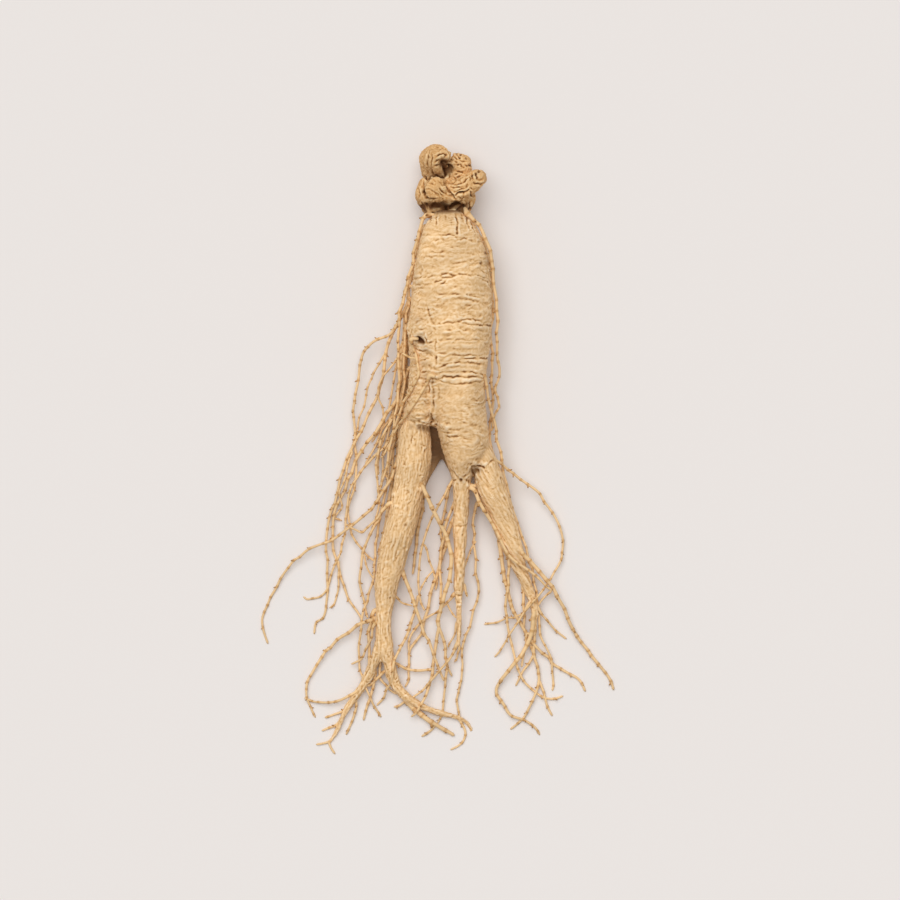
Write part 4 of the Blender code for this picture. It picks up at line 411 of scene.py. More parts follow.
def noise(points, size, seed):
    """Slopes at the corners of a grid with this cell size, followed to each point and eased by
    t*t*t*(6*t*t - 15*t + 10). The result swings between about -1 and 1, and one seed gives one landscape."""
    draw = np.random.default_rng(seed)
    slopes = draw.normal(size=(SLOPE_COUNT, 3))
    slopes /= np.linalg.norm(slopes, axis=1, keepdims=True)
    shuffled = draw.permutation(SLOPE_COUNT)
    scaled = np.asarray(points, float) / size
    cell = np.floor(scaled).astype(int)
    inside = scaled - cell
    ease = inside**3 * (inside * (6 * inside - 15) + 10)
    height = np.zeros(len(scaled))
    last = SLOPE_COUNT - 1
    for corner in itertools.product((0, 1), repeat=3):
        i, j, k = ((cell + corner) & last).T
        slope = slopes[shuffled[(shuffled[(shuffled[i] + j) & last] + k) & last]]
        height += ((inside - corner) * slope).sum(axis=1) * np.where(corner, ease, 1 - ease).prod(axis=1)
    return NOISE_GAIN * height


def linear(hex_colour):
    """An sRGB hex colour as linear red, green, blue and full alpha."""
    parts = [int(hex_colour[i:i + 2], 16) / 255 for i in (1, 3, 5)]
    return [c / 12.92 if c <= 0.04045 else ((c + 0.055) / 1.055) ** 2.4 for c in parts] + [1.0]


def add_node(tree, kind, links=(), **settings):
    """A node with its settings by name, its socket values by number (in_0=...), and its links as
    (output socket, number or name of the input that it feeds)."""
    node = tree.nodes.new(kind)
    for name, value in settings.items():
        if name.startswith("in_"):
            node.inputs[int(name[3:])].default_value = value
        else:
            setattr(node, name, value)
    for source, target in links:
        tree.links.new(source, node.inputs[target])
    return node


def new_object(name, data):
    """An object that holds this data, linked to the scene."""
    holder = bpy.data.objects.new(name, data)
    bpy.context.scene.collection.objects.link(holder)
    return holder


print("noise at three points:", noise([(0.3, 0, 0), (1.3, 2, 5), (4, 4, 4.5)], 1.0, 1).round(3))

# %% [markdown]
# ## From sections to one closed skin
#
# A limb could be modelled as a stack of extruded rings, but its sections are already a surface: a
# function of the height along the limb and the turn round it. Between the given sections the sizes are
# read off straight lines and then averaged over a few millimetres, because nothing that grows has a
# corner in its outline. Each limb is a closed tube, and where tubes overlap, a voxel remesh keeps only
# the outside of them all, as one skin of even small squares. A few rounds of averaging between neighbours
# melt the joins.

# %% Limbs as smooth tubes
LEVEL_STEP = 0.5
SECTION_SIDES = 64
ROUNDING_SPAN = 7
KNOB_STEP = 0.6
KNOB_SIDES = 32
DOME_REACH = 0.9
DOME_TIP = 0.02


def limb_lines(sections):
    """Levels down a limb, and at each the middle x, middle z, half width and half thickness: straight
    lines between the sections, averaged over a short span."""
    table = np.array(sections, float)[::-1]
    levels = np.arange(table[0, 0], table[-1, 0] + LEVEL_STEP / 2, LEVEL_STEP)
    left, right, thick, under = (np.interp(levels, table[:, 0], column) for column in table.T[1:])
    lines = np.stack([(left + right) / 2, under + thick / 2, (right - left) / 2, thick / 2])
    pad = ROUNDING_SPAN // 2
    lines = np.pad(lines, ((0, 0), (pad, pad)), mode="edge")
    weights = np.ones(ROUNDING_SPAN) / ROUNDING_SPAN
    return levels, np.stack([np.convolve(line, weights, "valid") for line in lines])


def tube_faces(rings, sides, first=0):
    """Quads between neighbouring rings of a tube, and a fan of triangles to a middle point at each end.
    The corners of the rings come first, then the two middle points."""
    ring, side = np.meshgrid(np.arange(rings - 1), np.arange(sides), indexing="ij")
    after = (side + 1) % sides
    quads = np.stack([ring * sides + side, ring * sides + after, (ring + 1) * sides + after,
                      (ring + 1) * sides + side], axis=-1).reshape(-1, 4)
    turn = np.arange(sides)
    nearby = (turn + 1) % sides
    last = (rings - 1) * sides
    start_fan = np.stack([nearby, turn, np.full(sides, rings * sides)], axis=-1)
    end_fan = np.stack([last + turn, last + nearby, np.full(sides, rings * sides + 1)], axis=-1)
    return (quads + first).tolist() + (start_fan + first).tolist() + (end_fan + first).tolist()


def closed_tube(rings):
    """Points and faces of a tube through rings of corners, with its ends closed to their middles."""
    count, sides, _ = rings.shape
    points = np.vstack([rings.reshape(-1, 3), rings[0].mean(axis=0), rings[-1].mean(axis=0)])
    return points, tube_faces(count, sides)


def limb_tube(sections):
    """Level ellipses: x = middle + half width * sin(turn), z = middle - half thickness * cos(turn), and
    no point lower than the table."""
    levels, (middle_x, middle_z, half_width, half_thick) = limb_lines(sections)
    turn = 2 * math.pi * np.arange(SECTION_SIDES) / SECTION_SIDES
    x = middle_x[:, None] + half_width[:, None] * np.sin(turn)
    z = middle_z[:, None] - half_thick[:, None] * np.cos(turn)
    y = np.broadcast_to(levels[:, None], x.shape)
    return closed_tube(np.stack([x, y, np.maximum(z, 0)], axis=2)[::-1])


def unit(vectors):
    """The vectors at length 1."""
    return vectors / np.maximum(np.linalg.norm(vectors, axis=-1, keepdims=True), 1e-9)


def smooth_route(points, step):
    """A curve through the points: each stretch is the cubic that leaves and enters along the line between
    the points on either side, read off every `step` millimetres."""
    points = np.array(points, float)
    padded = np.vstack([2 * points[0] - points[1], points, 2 * points[-1] - points[-2]])
    stretches = []
    for before, start, end, after in zip(padded, padded[1:], padded[2:], padded[3:]):
        count = max(2, round(float(np.linalg.norm(end - start)) / step))
        t = np.linspace(0, 1, count, endpoint=False)[:, None]
        squared = 2 * before - 5 * start + 4 * end - after
        cubed = 3 * start - before - 3 * end + after
        stretches.append(0.5 * (2 * start + (end - before) * t + squared * t**2 + cubed * t**3))
    return np.vstack(stretches + [points[-1:]])


def distance_along(route):
    """How far along its route each point is: the sum of the steps up to it."""
    return np.concatenate([[0], np.cumsum(np.linalg.norm(np.diff(route, axis=0), axis=1))])


def rings_round(centres, sizes, across, up, sides):
    """A ring of corners round each centre, at size * (across * cos(turn) + up * sin(turn))."""
    turn = 2 * math.pi * np.arange(sides) / sides
    return centres[:, None] + sizes[:, None, None] * (
        across[:, None] * np.cos(turn)[:, None] + up[:, None] * np.sin(turn)[:, None])


def circles(route, radii, sides):
    """Rings of corners round a route, square to it."""
    along = unit(np.gradient(route, axis=0))
    across = unit(np.cross(along, (0, 0, 1)))
    return rings_round(route, radii, across, np.cross(across, along), sides)


def knob_tube(points, radii):
    """Circles along a short route, rounded off at the start and domed at the end."""
    route = smooth_route(points, KNOB_STEP)
    radius = np.interp(np.linspace(0, 1, len(route)), np.linspace(0, 1, len(radii)), radii)
    root, tip = unit(route[0] - route[1]), unit(route[-1] - route[-2])
    bend = np.linspace(0, math.pi / 2, 8)[1:]
    dome_out, dome_size = DOME_REACH * np.sin(bend), np.maximum(np.cos(bend), DOME_TIP)
    centres = np.vstack([route[0] + root * radius[0] * np.sin(bend[::-1])[:, None], route,
                         route[-1] + tip * radius[-1] * dome_out[:, None]])
    sizes = np.concatenate([radius[0] * dome_size[::-1], radius, radius[-1] * dome_size])
    along = unit(np.vstack([np.tile(-root, (len(bend), 1)), np.gradient(route, axis=0),
                            np.tile(tip, (len(bend), 1))]))
    across = unit(np.cross(along, np.cross(tip, (1.0, 0.2, 0.1))))
    return closed_tube(rings_round(centres, sizes, across, np.cross(along, across), KNOB_SIDES))


print("trunk levels:", len(limb_lines(LIMBS["trunk"])[0]))

# %% [markdown]
# ## One skin over several tubes
#
# Tubes that only pass through each other leave a sharp seam where they meet, and a root has none: flesh
# fills it. Rebuilding the tubes as one surface of small even cells joins them, and averaging each point
# with its neighbours a few times then rounds the seam off.

# %% Several tubes to one skin
def read_mesh(mesh):
    """The points in millimetres, edges and outward directions of a mesh as arrays."""
    points = np.empty(len(mesh.vertices) * 3)
    mesh.vertices.foreach_get("co", points)
    edges = np.empty(len(mesh.edges) * 2, np.int32)
    mesh.edges.foreach_get("vertices", edges)
    outward = np.empty(len(mesh.vertices) * 3)
    mesh.vertex_normals.foreach_get("vector", outward)
    return points.reshape(-1, 3) / MM, edges.reshape(-1, 2), outward.reshape(-1, 3)


def write_points(mesh, points):
    """Moves the points of a mesh to these places, given in millimetres."""
    mesh.vertices.foreach_set("co", (points * MM).ravel())
    mesh.update()


def averaged(values, edges, times):
    """Each point's value moved half way to the mean of its neighbours' values, `times` over."""
    values = values.copy()
    neighbours = np.bincount(edges.ravel(), minlength=len(values))
    for _ in range(times):
        for axis in range(values.shape[1]):
            column = values[:, axis]
            total = (np.bincount(edges[:, 0], column[edges[:, 1]], len(column))
                     + np.bincount(edges[:, 1], column[edges[:, 0]], len(column)))
            values[:, axis] = (column + total / neighbours) / 2
    return values


def one_skin(name, tubes, voxel, rounds):
    """The outside of several closed tubes as one mesh of squares of side `voxel`, averaged `rounds`
    times."""
    points, faces, used = [], [], 0
    for tube_points, tube_face_list in tubes:
        points.append(tube_points)
        faces += [[corner + used for corner in face] for face in tube_face_list]
        used += len(tube_points)
    rough = bpy.data.meshes.new(name + "_rough")
    rough.from_pydata((np.vstack(points) * MM).tolist(), [], faces)
    carrier = new_object(name + "_rough", rough)
    remesh = carrier.modifiers.new("skin", "REMESH")
    remesh.mode = "VOXEL"
    remesh.voxel_size = voxel * MM
    graph = bpy.context.evaluated_depsgraph_get()
    mesh = bpy.data.meshes.new_from_object(carrier.evaluated_get(graph))
    mesh.name = name
    bpy.data.objects.remove(carrier)
    bpy.data.meshes.remove(rough)
    even, edges, _ = read_mesh(mesh)
    write_points(mesh, averaged(even, edges, rounds))
    piece = new_object(name, mesh)
    mesh.shade_smooth()
    print(name, "has", len(mesh.polygons), "faces")
    return piece


TOE_STEP = 0.5
TOE_SIDES = 24


def toe_line(points, start_radius, end_radius):
    """The route and radii of a thick rootlet that the leg splits into."""
    route = smooth_route(points, TOE_STEP)
    return route, np.interp(np.arange(len(route)), (0, len(route) - 1), (start_radius, end_radius))


# A low brown web closes the fork at the back, a dark sheet painted as the shade in the fork: a middle
# with its sides inside both legs, and a flange that runs down along each leg, so that the web's edge is
# an arch.
FORK_SHADE_WEBS = [
    [
        (9, -5, 6, 5, 3), (5, -5, 6, 4.4, 1.8), (1, -5, 6, 3.6, 0.8), (-1.6, -5, 6, 2.4, 0.2),
        (-3, -5, 6, 1.4, -0.3)],
    [
        (0, -5, 2, 3.2, 0.6), (-2.6, -5, 1.2, 2.8, 0.3), (-4.6, -5.2, 0, 2.4, 0.2),
        (-7, -5.6, -1.4, 2, 0), (-10, -6.2, -3, 1.6, -0.2), (-14, -7, -4.8, 1, -0.3)],
    [
        (0, 0.4, 6, 3.2, 0.6), (-2.6, 1.2, 6, 2.8, 0.3), (-4.6, 2.4, 6.2, 2.4, 0.2), (-7, 3.6, 6.6, 2, 0),
        (-10.5, 5.2, 7, 1.4, -0.3)],
]

# The leg splits into two toes, so they are part of its skin. The thinner rootlets come later.
TOES = {name: toe_line(points, start, end) for name, (_, start, end, points) in ROOTLETS.items()
        if name in ("left_toe", "right_toe")}
body = one_skin(
    "root_body",
    [limb_tube(LIMBS[name]) for name in ("trunk", "middle_leg", "left_thigh", "right_leg")]
    + [limb_tube(shade_web) for shade_web in FORK_SHADE_WEBS] + [knob_tube(*KNOBS["branch_scar"])],
    voxel=0.34, rounds=8)
left_leg = one_skin(
    "left_leg",
    [limb_tube(LIMBS["left_leg"])] + [closed_tube(circles(*toe, TOE_SIDES)) for toe in TOES.values()],
    voxel=0.3, rounds=6)
rhizome = one_skin(
    "rhizome", [knob_tube(*knob) for name, knob in KNOBS.items() if name != "branch_scar"],
    voxel=0.22, rounds=5)

# %% [markdown]
# ## Wrinkles that follow the flesh
#
# A fresh root is plump. As it dries, its skin shrinks less than its flesh, so it folds: across the trunk,
# where each year's growth pulled the root down into the soil, and along the legs, whose fibres run that
# way. A sculptor would brush these in; here they come from noise whose absolute value is taken, which
# turns the gentle landscape into rounded hills with sharp valleys between them. It is read in the limb's
# own straight frame, with the middle line taken away, so that the wrinkles bend with the limb.
#
# Each recipe below is a sum of such noises. Each has its amount in millimetres, the size of its bumps in
# millimetres, across, along and above where they differ, and a seed of its own.

# %% Wrinkles by limb
HILL_SHIFT = 0.6
THREAD_WIDTH = 0.16
KNEE_SPAN = 8.0
LIMB_SHARPNESS = 9.0
FAR_OUT = 60.0


def straightened(points, sections):
    """Points with the limb's middle line taken away from x and z, and how far out each is: 1 on the
    surface of the limb's tube, less inside it, more outside it or past its ends."""
    levels, (middle_x, middle_z, half_width, half_thick) = limb_lines(sections)
    x, y, z = points.T
    across = x - np.interp(y, levels, middle_x)
    above = z - np.interp(y, levels, middle_z)
    out = np.hypot(across / np.interp(y, levels, half_width), above / np.interp(y, levels, half_thick))
    past = np.maximum(0, np.maximum(levels[0] - y, y - levels[-1]))
    return np.stack([across, y, above], axis=1), out + past


def bell(distance, width):
    """1 at no distance, falling off on both sides: e to the power of minus (distance / width) squared."""
    return np.exp(-(distance / width) ** 2)


def hills(points, size, seed):
    """Rounded hills with sharp valleys between them: twice the absolute value of noise, less a shift that
    keeps the mean near 0."""
    return 2 * np.abs(noise(points, np.asarray(size, float), seed)) - HILL_SHIFT


def threads(points, size, seed):
    """Thin raised lines, where the noise passes through 0."""
    return bell(noise(points, np.asarray(size, float), seed), THREAD_WIDTH)


def warped(points, size, amount, seed):
    """The points moved about by noise, so that what is read there runs less straight."""
    return points + amount * np.stack([noise(points, size, seed + axis) for axis in range(3)], axis=1)


def trunk_wrinkles(at):
    """Soft lumps, wavy folds across the trunk about 1 mm apart, thin threads of skin, and a fine crumple."""
    wavy = warped(warped(at, 5.0, 0.9, 11), 1.8, 0.35, 21)
    patchy = np.clip(0.85 + 1.0 * noise(at, 6.0, 31), 0.2, 1.7)
    return (0.32 * noise(at, 9.0, 32) + 0.22 * noise(at, (4.5, 2.4, 4.5), 33)
            + patchy * (0.13 * hills(wavy, (6.0, 1.9, 6.0), 34) + 0.12 * hills(wavy, (3.2, 1.0, 3.2), 35)
                        + 0.13 * threads(wavy, (6.5, 2.2, 6.5), 36))
            + 0.07 * threads(wavy, (2.6, 0.9, 2.6), 38)
            + 0.05 * hills(warped(at, 1.5, 0.4, 37), (1.6, 1.0, 1.6), 40) + 0.05 * noise(at, 0.75, 41))


def leg_wrinkles(at):
    """Ridges along the fibres about 1 mm apart, thin threads along them, and small nicks across."""
    wavy = warped(at, 4.0, 0.4, 51)
    nicked = np.clip(noise(at, 2.2, 54) - 0.15, 0, 1)
    return (0.22 * noise(at, 5.0, 55) + 0.14 * hills(wavy, (1.3, 7.0, 1.3), 56)
            + 0.12 * hills(wavy, (0.8, 3.2, 0.8), 57) + 0.1 * threads(wavy, (1.7, 7.0, 1.7), 58)
            + 0.45 * nicked * hills(at, (1.8, 0.9, 1.8), 59) + 0.08 * noise(at, 0.75, 60))


def right_leg_wrinkles(at):
    """The leg's ridges, turned a little so that they wind round it, with broader lumps between."""
    slanted = at + np.stack([0.3 * at[:, 1], 0 * at[:, 1], 0 * at[:, 1]], axis=1)
    return 0.9 * leg_wrinkles(slanted) + 0.12 * hills(warped(slanted, 4.0, 0.5, 61), (2.2, 6.0, 2.2), 64)


def middle_leg_wrinkles(at):
    """Those of the trunk on the thigh, above y = 0, and those of a leg below the knee, mixed between."""
    thigh = np.clip((at[:, 1] + KNEE_SPAN) / KNEE_SPAN, 0, 1)
    return thigh * trunk_wrinkles(at) + (1 - thigh) * leg_wrinkles(at)


WRINKLES = {"trunk": trunk_wrinkles, "middle_leg": middle_leg_wrinkles, "left_thigh": trunk_wrinkles,
            "right_leg": right_leg_wrinkles}


def nearness(out):
    """How much a limb counts at a point: e to the power of minus LIMB_SHARPNESS times how far out it is."""
    return np.exp(-LIMB_SHARPNESS * np.clip(out, 0, FAR_OUT))


def limb_wrinkles(points):
    """Each limb's own wrinkles, mixed by how near the point is to each limb's surface."""
    total, weights = np.zeros(len(points)), np.zeros(len(points))
    for name, wrinkles in WRINKLES.items():
        at, out = straightened(points, LIMBS[name])
        share = nearness(out)
        total += share * wrinkles(at)
        weights += share
    return total / np.maximum(weights, 1e-12)


sample = np.random.default_rng(5).uniform(-10, 10, (2000, 3))
print("trunk wrinkles, mm, low to high:", np.percentile(trunk_wrinkles(sample), (1, 50, 99)).round(2))

# %% [markdown]
# ## Creases, pits and beads
#
# Noise alone would make any root. What makes it this one are its named creases: the folds where a year's
# growth ended, the eye-like one a third of the way down, the seam between the thighs. Each is a line on
# the surface as seen from above, with a depth and a half width. A point near the line is pushed in by a
# bell curve of its distance, and the skin just beside it is lifted, because folded skin has lips. A line
# that runs on past the outline goes round the side. Pits and beads are the same bell curve round a single
# point.

# %% Creases drawn on the skin
# Each crease: depth, half width, and its points as x, y.
CREASES = [
    (0.4, 0.3, [(-3.7, 75.6), (-4, 74), (-4.4, 71.8)]), (0.35, 0.3, [(-1.9, 75.4), (-2.4, 72.4)]),
    (0.4, 0.3, [(-0.5, 75.2), (-0.4, 73), (-0.8, 71.4)]), (0.35, 0.3, [(0.7, 75), (0.4, 72.6)]),
    (0.3, 0.3, [(2.2, 75.3), (2.5, 73)]), (0.2, 0.3, [(4, 73.8), (4.2, 70.4)]),
    (0.6, 0.35, [(5.6, 75.4), (6.2, 72), (5.9, 70), (6.3, 68)]), (0.4, 0.3, [(7.4, 75.2), (8.1, 72.6)]),
    (0.5, 0.3, [(9, 74.8), (9.5, 72), (10.4, 69.6)]),
    (0.4, 0.3, [(10.4, 73.4), (11.2, 71), (12.3, 68.4)]),
    (0.22, 0.3, [(-12, 69.2), (-6, 68.8), (-2, 68.2), (1.5, 68.4), (3.2, 68.1)]),
    (0.4, 0.3, [(2.4, 68.2), (4.2, 68.6), (5.5, 68), (6.4, 67.1), (8.5, 67.3), (10, 66.8), (11.6, 66.7)]),
    (0.2, 0.3, [(11.2, 66.4), (14, 66.2), (22, 65)]), (0.2, 0.3, [(-4.5, 64.6), (-2, 64.9), (0.5, 64.4)]),
    (0.2, 0.3, [(3.5, 64.4), (6, 64.9), (8.5, 64.4)]),
    (0.3, 0.3, [(-5.5, 61.3), (-3.5, 61.7), (-1.5, 61.5), (0.6, 61.8), (2, 61.3)]),
    (0.22, 0.3, [(3, 61.2), (5, 60.9), (8, 61.1)]),
    (0.22, 0.3, [(9.5, 60.6), (11.5, 60.2), (13.5, 60.5)]),
    (0.2, 0.3, [(-3, 63.2), (0, 62.8), (2.5, 63.2)]), (0.2, 0.3, [(5, 62.6), (8.5, 62.8), (12, 62.2)]),
    (0.25, 0.3, [(-16, 54), (-8, 54.6), (-4, 55), (-1.5, 55.3), (0.8, 55.5)]),
    (0.7, 0.32, [(0.7, 55.7), (2.4, 56), (4, 55.8), (5.4, 55.6)]),
    (0.55, 0.32, [(0.4, 55.4), (1.6, 54.9), (3.2, 54.7), (4.6, 55), (5.8, 55.5)]),
    (0.42, 0.3, [(5.4, 55.5), (7.2, 55.9), (9, 55.8), (12, 55.7), (14.6, 55), (16.4, 54.2),
        (17.4, 52.2), (24, 51)]),
    (0.35, 0.3, [(11.6, 54.8), (13.6, 54.6), (15.6, 53.8), (17, 52), (24, 49.4)]),
    (0.4, 0.3, [(1.7, 54.7), (0.2, 53.8), (-0.5, 53.6), (-1.6, 52.7)]),
    (0.35, 0.3, [(3.1, 54.3), (1.8, 53.2), (0.4, 52.4)]),
    (0.25, 0.3, [(4.6, 54.4), (5.6, 53.3), (7.4, 52.8)]),
    (0.2, 0.3, [(-5, 52.4), (-3, 52.8), (-1, 52.2)]),
    (0.3, 0.3, [(0, 49.8), (1.6, 49.5), (4, 49.8), (7, 49.3), (8.4, 49.2)]),
    (0.3, 0.3, [(10, 49.3), (12.5, 49.4), (15.5, 49.1)]), (0.2, 0.3, [(5.2, 48.6), (8, 48.5)]),
    (0.25, 0.3, [(10.2, 48.4), (13.8, 48.6)]), (0.15, 0.3, [(3, 46.3), (7, 46.5), (10.5, 46.1)]),
    (0.35, 0.3, [(-1, 40.2), (0.8, 40.1), (3, 40.8), (5, 40.5), (7, 40.6), (8.6, 40.3)]),
    (0.45, 0.3, [(6.3, 41), (7.6, 41.2), (9, 41.5), (12, 41.3), (14.2, 41.1)]),
    (0.4, 0.3, [(8.4, 40.3), (9.6, 40), (12, 39.9), (14.5, 39.8), (17, 39.7), (23, 39.4)]),
    (0.15, 0.3, [(2, 38.2), (6, 38), (9.5, 38.3)]),
    (0.2, 0.3, [(0.6, 35), (5, 35.2), (10, 34.9), (15.4, 35.2)]),
    (0.2, 0.3, [(2, 33.9), (6, 34.1), (12, 33.8)]), (0.15, 0.3, [(3, 32.2), (8, 32), (13, 32.3)]),
    (0.3, 0.3, [(0, 30.6), (2.4, 30.8), (5, 30.4)]),
    (0.5, 0.32, [(4.5, 30.4), (7, 30), (10, 30.3), (14.6, 29.9)]),
    (0.6, 0.32, [(7.4, 29.4), (10, 29.1), (12.4, 29.3), (15, 29.2), (21, 29)]),
    (0.45, 0.32, [(-0.6, 25.6), (0.6, 26.4), (1.8, 27), (5, 27.7), (9, 27.7), (12.6, 27.5), (15, 27.2)]),
    (0.2, 0.3, [(3, 26.4), (6, 26.6), (9, 26.4)]), (0.2, 0.3, [(0.6, 24.6), (3, 25.2), (6, 24.9)]),
    (0.5, 0.32, [(7.6, 25.1), (9.4, 24.7), (11, 24.8), (13.4, 24.3), (15, 23.6)]),
    (0.6, 0.35, [(0.4, 22.9), (2, 23.3), (5, 23.1), (7, 23.3), (9, 23.1), (12.2, 23.4), (13.4, 23.3)]),
    (0.4, 0.32, [(0, 22.2), (2, 21.7), (4.8, 21), (8, 21.1), (11, 21.6), (14.6, 22), (21, 21.6)]),
    (0.4, 0.32, [(13, 23.4), (14.4, 22.7), (21, 22)]),
    (0.4, 0.32, [(-6.6, 23), (-5, 22.8), (-4, 22.5), (-2, 22.6), (0.6, 22.8)]),
    (0.35, 0.4, [(-3.5, 46), (-2.8, 43.5), (-2.2, 41.5), (-1.2, 39.8), (-0.9, 37.8)]),
    (0.3, 0.35, [(-0.5, 35.4), (-0.9, 33.2), (-0.4, 31)]),
    (0.3, 0.35, [(-0.8, 30.4), (-0.6, 27.4), (-1.2, 25)]),
    (0.5, 0.32, [(-8, 36.2), (-7.2, 34.4), (-7, 32.6)]),
    (0.5, 0.32, [(-4.6, 36.8), (-3.6, 35.2), (-3.4, 33.6)]), (0.4, 0.3, [(-3.2, 36.8), (-1.9, 37.5)]),
    (0.45, 0.3, [(-4, 33.9), (-2.6, 34.4), (-1, 34.9)]),
    (0.5, 0.3, [(-7.6, 32.2), (-5.6, 31.5), (-3.4, 31.8)]),
    (0.35, 0.3, [(-8, 40), (-6.4, 41), (-4.6, 40.6)]),
    (0.35, 0.3, [(-8.4, 38.2), (-6.4, 38.7), (-4.2, 38.2)]),
    (0.45, 0.3, [(-6.2, 28.2), (-4.6, 28.8), (-3, 29)]), (0.4, 0.3, [(-3.6, 27.3), (-2.2, 26.8)]),
    (0.45, 0.3, [(-5.4, 26.2), (-4, 26.7)]), (0.4, 0.3, [(-2.4, 30.4), (-1.6, 29.6)]),
    (0.4, 0.3, [(-7, 25.2), (-5, 24.7), (-2.6, 25.1)]), (0.35, 0.3, [(-7.6, 29.8), (-5.4, 30.2)]),
    (0.45, 0.35, [(-1.7, 23.2), (-1.6, 21), (-1.2, 19), (-1.6, 16.5), (-1.3, 14.2), (-2, 11.6),
        (-1.6, 9)]),
    (0.3, 0.3, [(-2.8, 21.6), (-2.5, 19.6), (-2.9, 17.6)]),
    (0.3, 0.3, [(0, 20.6), (0.5, 18.4), (0, 16.2)]), (0.3, 0.3, [(1.4, 9), (2.8, 8.7), (4, 8.5)]),
    (0.35, 0.3, [(2.4, 4.6), (5, 4.2), (7, 4.4), (9.6, 3.6)]),
    (0.25, 0.3, [(6, 1.2), (8, 1.5), (10.4, 0.8)]), (0.25, 0.3, [(3, 6.6), (5.4, 6.3), (8, 6.7)]),
    (0.45, 0.32, [(3.8, -6), (5, -7.2), (6, -8.6), (7.1, -9.5)]),
    (0.45, 0.32, [(11, -6.4), (9.6, -7.4), (8.4, -8.9), (7.3, -9.5)]),
    (0.6, 0.35, [(7.2, -9), (7.3, -10.6)]),
    (0.4, 0.32, [(4.6, -9.8), (6, -9.3), (7.2, -9.7), (9, -9.4), (10.4, -10.2)]),
    (0.9, 0.35, [(10.2, -6.6), (11.3, -5.5), (12.6, -5), (13.9, -5.2), (15.3, -5.7)]),
    (0.8, 0.4, [(11.1, -5.6), (11.3, -8.2), (11.5, -10.6)]),
    (0.5, 0.35, [(11.3, -10), (11.9, -13), (12.6, -16)]),
    (0.3, 0.3, [(15.4, -5.4), (16.6, -4), (17.6, -3.4), (20, -3)]),
    (0.25, 0.3, [(5.6, -24), (7.2, -24.4), (9, -24)]),
    (0.4, 0.35, [(5.4, -46.3), (6.6, -46.7), (8, -46.3)]),
]
LEFT_LEG_CREASES = [
    (0.25, 0.3, [(-12.2, -30.8), (-11, -31.4), (-10.4, -32.4)]),
    (0.2, 0.3, [(-8, 4.6), (-8.8, 2), (-9.8, -0.6)]),
    (0.2, 0.3, [(-11.4, -12.6), (-9.6, -13), (-8.4, -14.4)]), (0.3, 0.3, [(-6.6, 6), (-7.4, 4.6)]),
]

# Each pit or bead: x, y, radius, and how far the skin sinks (below 0) or stands up.
SPOTS = [
    (-6.1, 34.9, 1.0, -2.0), (-5.2, 34.2, 0.7, -1.0), (-5.6, 38.6, 2.4, 0.5), (-3.9, 36.2, 0.9, 0.4),
    (15.5, 63, 0.5, -0.5), (14, 59.7, 0.5, -0.5), (9.2, 49.3, 0.75, 0.4), (9.2, 49.3, 0.3, -0.5),
    (-2, 12, 0.8, 0.5), (-3, 13.2, 0.8, 0.4), (-1, 10.6, 0.7, 0.4), (7.4, -9.8, 0.6, -0.5),
    (9.6, -11.4, 0.9, 0.5), (5.4, -11, 0.8, 0.3), (8, -33.7, 0.5, 0.3), (7.3, -40, 0.5, 0.3),
    (-4.6, 9, 1.0, 0.6), (-2.8, 9.3, 0.8, 0.5), (-6.6, 8.6, 0.9, 0.5), (1.6, 8.3, 0.8, 0.5),
    (3, 7.4, 0.8, 0.4), (12.4, -6.4, 1.0, -0.6), (11.6, -4.1, 0.8, 0.5), (13.4, -3.9, 0.9, 0.5),
    (15.2, -4.4, 0.8, 0.4), (10, 40.7, 1.6, 0.2), (5, 22.2, 1.4, 0.35), (9, 22.2, 1.6, 0.35),
    (12.4, 22.6, 1.2, 0.25), (2, 22.3, 1.0, 0.25),
]
LEFT_LEG_SPOTS = [
    (-14, -14, 0.7, 0.4), (-13, -18, 0.6, 0.35), (-9, -5, 0.6, 0.3), (-10.4, -24, 0.5, -0.3),
    (-12.8, -8.6, 0.5, 0.3), (-16.4, -36, 0.6, 0.35), (-5.6, -12.4, 1.0, 0.5)]


def beside_line(places, line):
    """The distance in plan to the nearest stretch of a line, and how far along it that is from the nearer
    of its two ends."""
    line = np.array(line, float)
    runs = np.diff(line, axis=0)
    lengths = np.linalg.norm(runs, axis=1)
    nearest, from_end = np.full(len(places), np.inf), np.zeros(len(places))
    for start, run, length, before in zip(line, runs, lengths, np.cumsum(lengths) - lengths):
        share = np.clip((places - start) @ run / length**2, 0, 1)
        away = np.linalg.norm(places - start - share[:, None] * run, axis=1)
        closer = away < nearest
        along = before + share * length
        nearest = np.where(closer, away, nearest)
        from_end = np.where(closer, np.minimum(along, lengths.sum() - along), from_end)
    return nearest, from_end


# Where hollows, the seam and the crook of the right leg are darkened, by soil and by painted shade: x, y,
# radius, and how dark it is.
BODY_SOIL_AND_SHADE = [
    (11.4, -7, 1.1, 0.7), (11.6, -9.4, 1.1, 0.6), (12.2, -12, 1.1, 0.45), (13, -15, 1.1, 0.3),
    (13.4, -6.4, 1.0, 0.4), (-6, 34.8, 1.6, 0.35), (-3.6, 31.4, 1.6, 0.3), (-4.6, 27.4, 1.8, 0.3),
    (-4, 23.4, 1.8, 0.25), (-1.7, 21.6, 0.9, 0.4), (-1.4, 18.4, 0.9, 0.35), (-1.4, 14.6, 0.9, 0.35),
    (-1.8, 10.6, 1.0, 0.45), (15.8, 60.4, 1.6, 0.25), (-6.4, 41.6, 1.8, 0.25),
]
# Painted shadow under the lip of flesh over the top of the left leg: x, y, radius, and how dark it is.
LEFT_LEG_LIP_SHADOW = [(-6, 7.1, 0.9, 0.75), (-4.6, 6.9, 0.9, 0.8), (-3.2, 6.6, 0.9, 0.7), (-8.6, 7.4, 0.9, 0.4)]


# The tables say how deep a crease looks. Its shadow makes it look deeper and wider than it is.
CREASE_DEPTH_SHARE = 0.6
CREASE_WIDTH_SHARE = 0.9
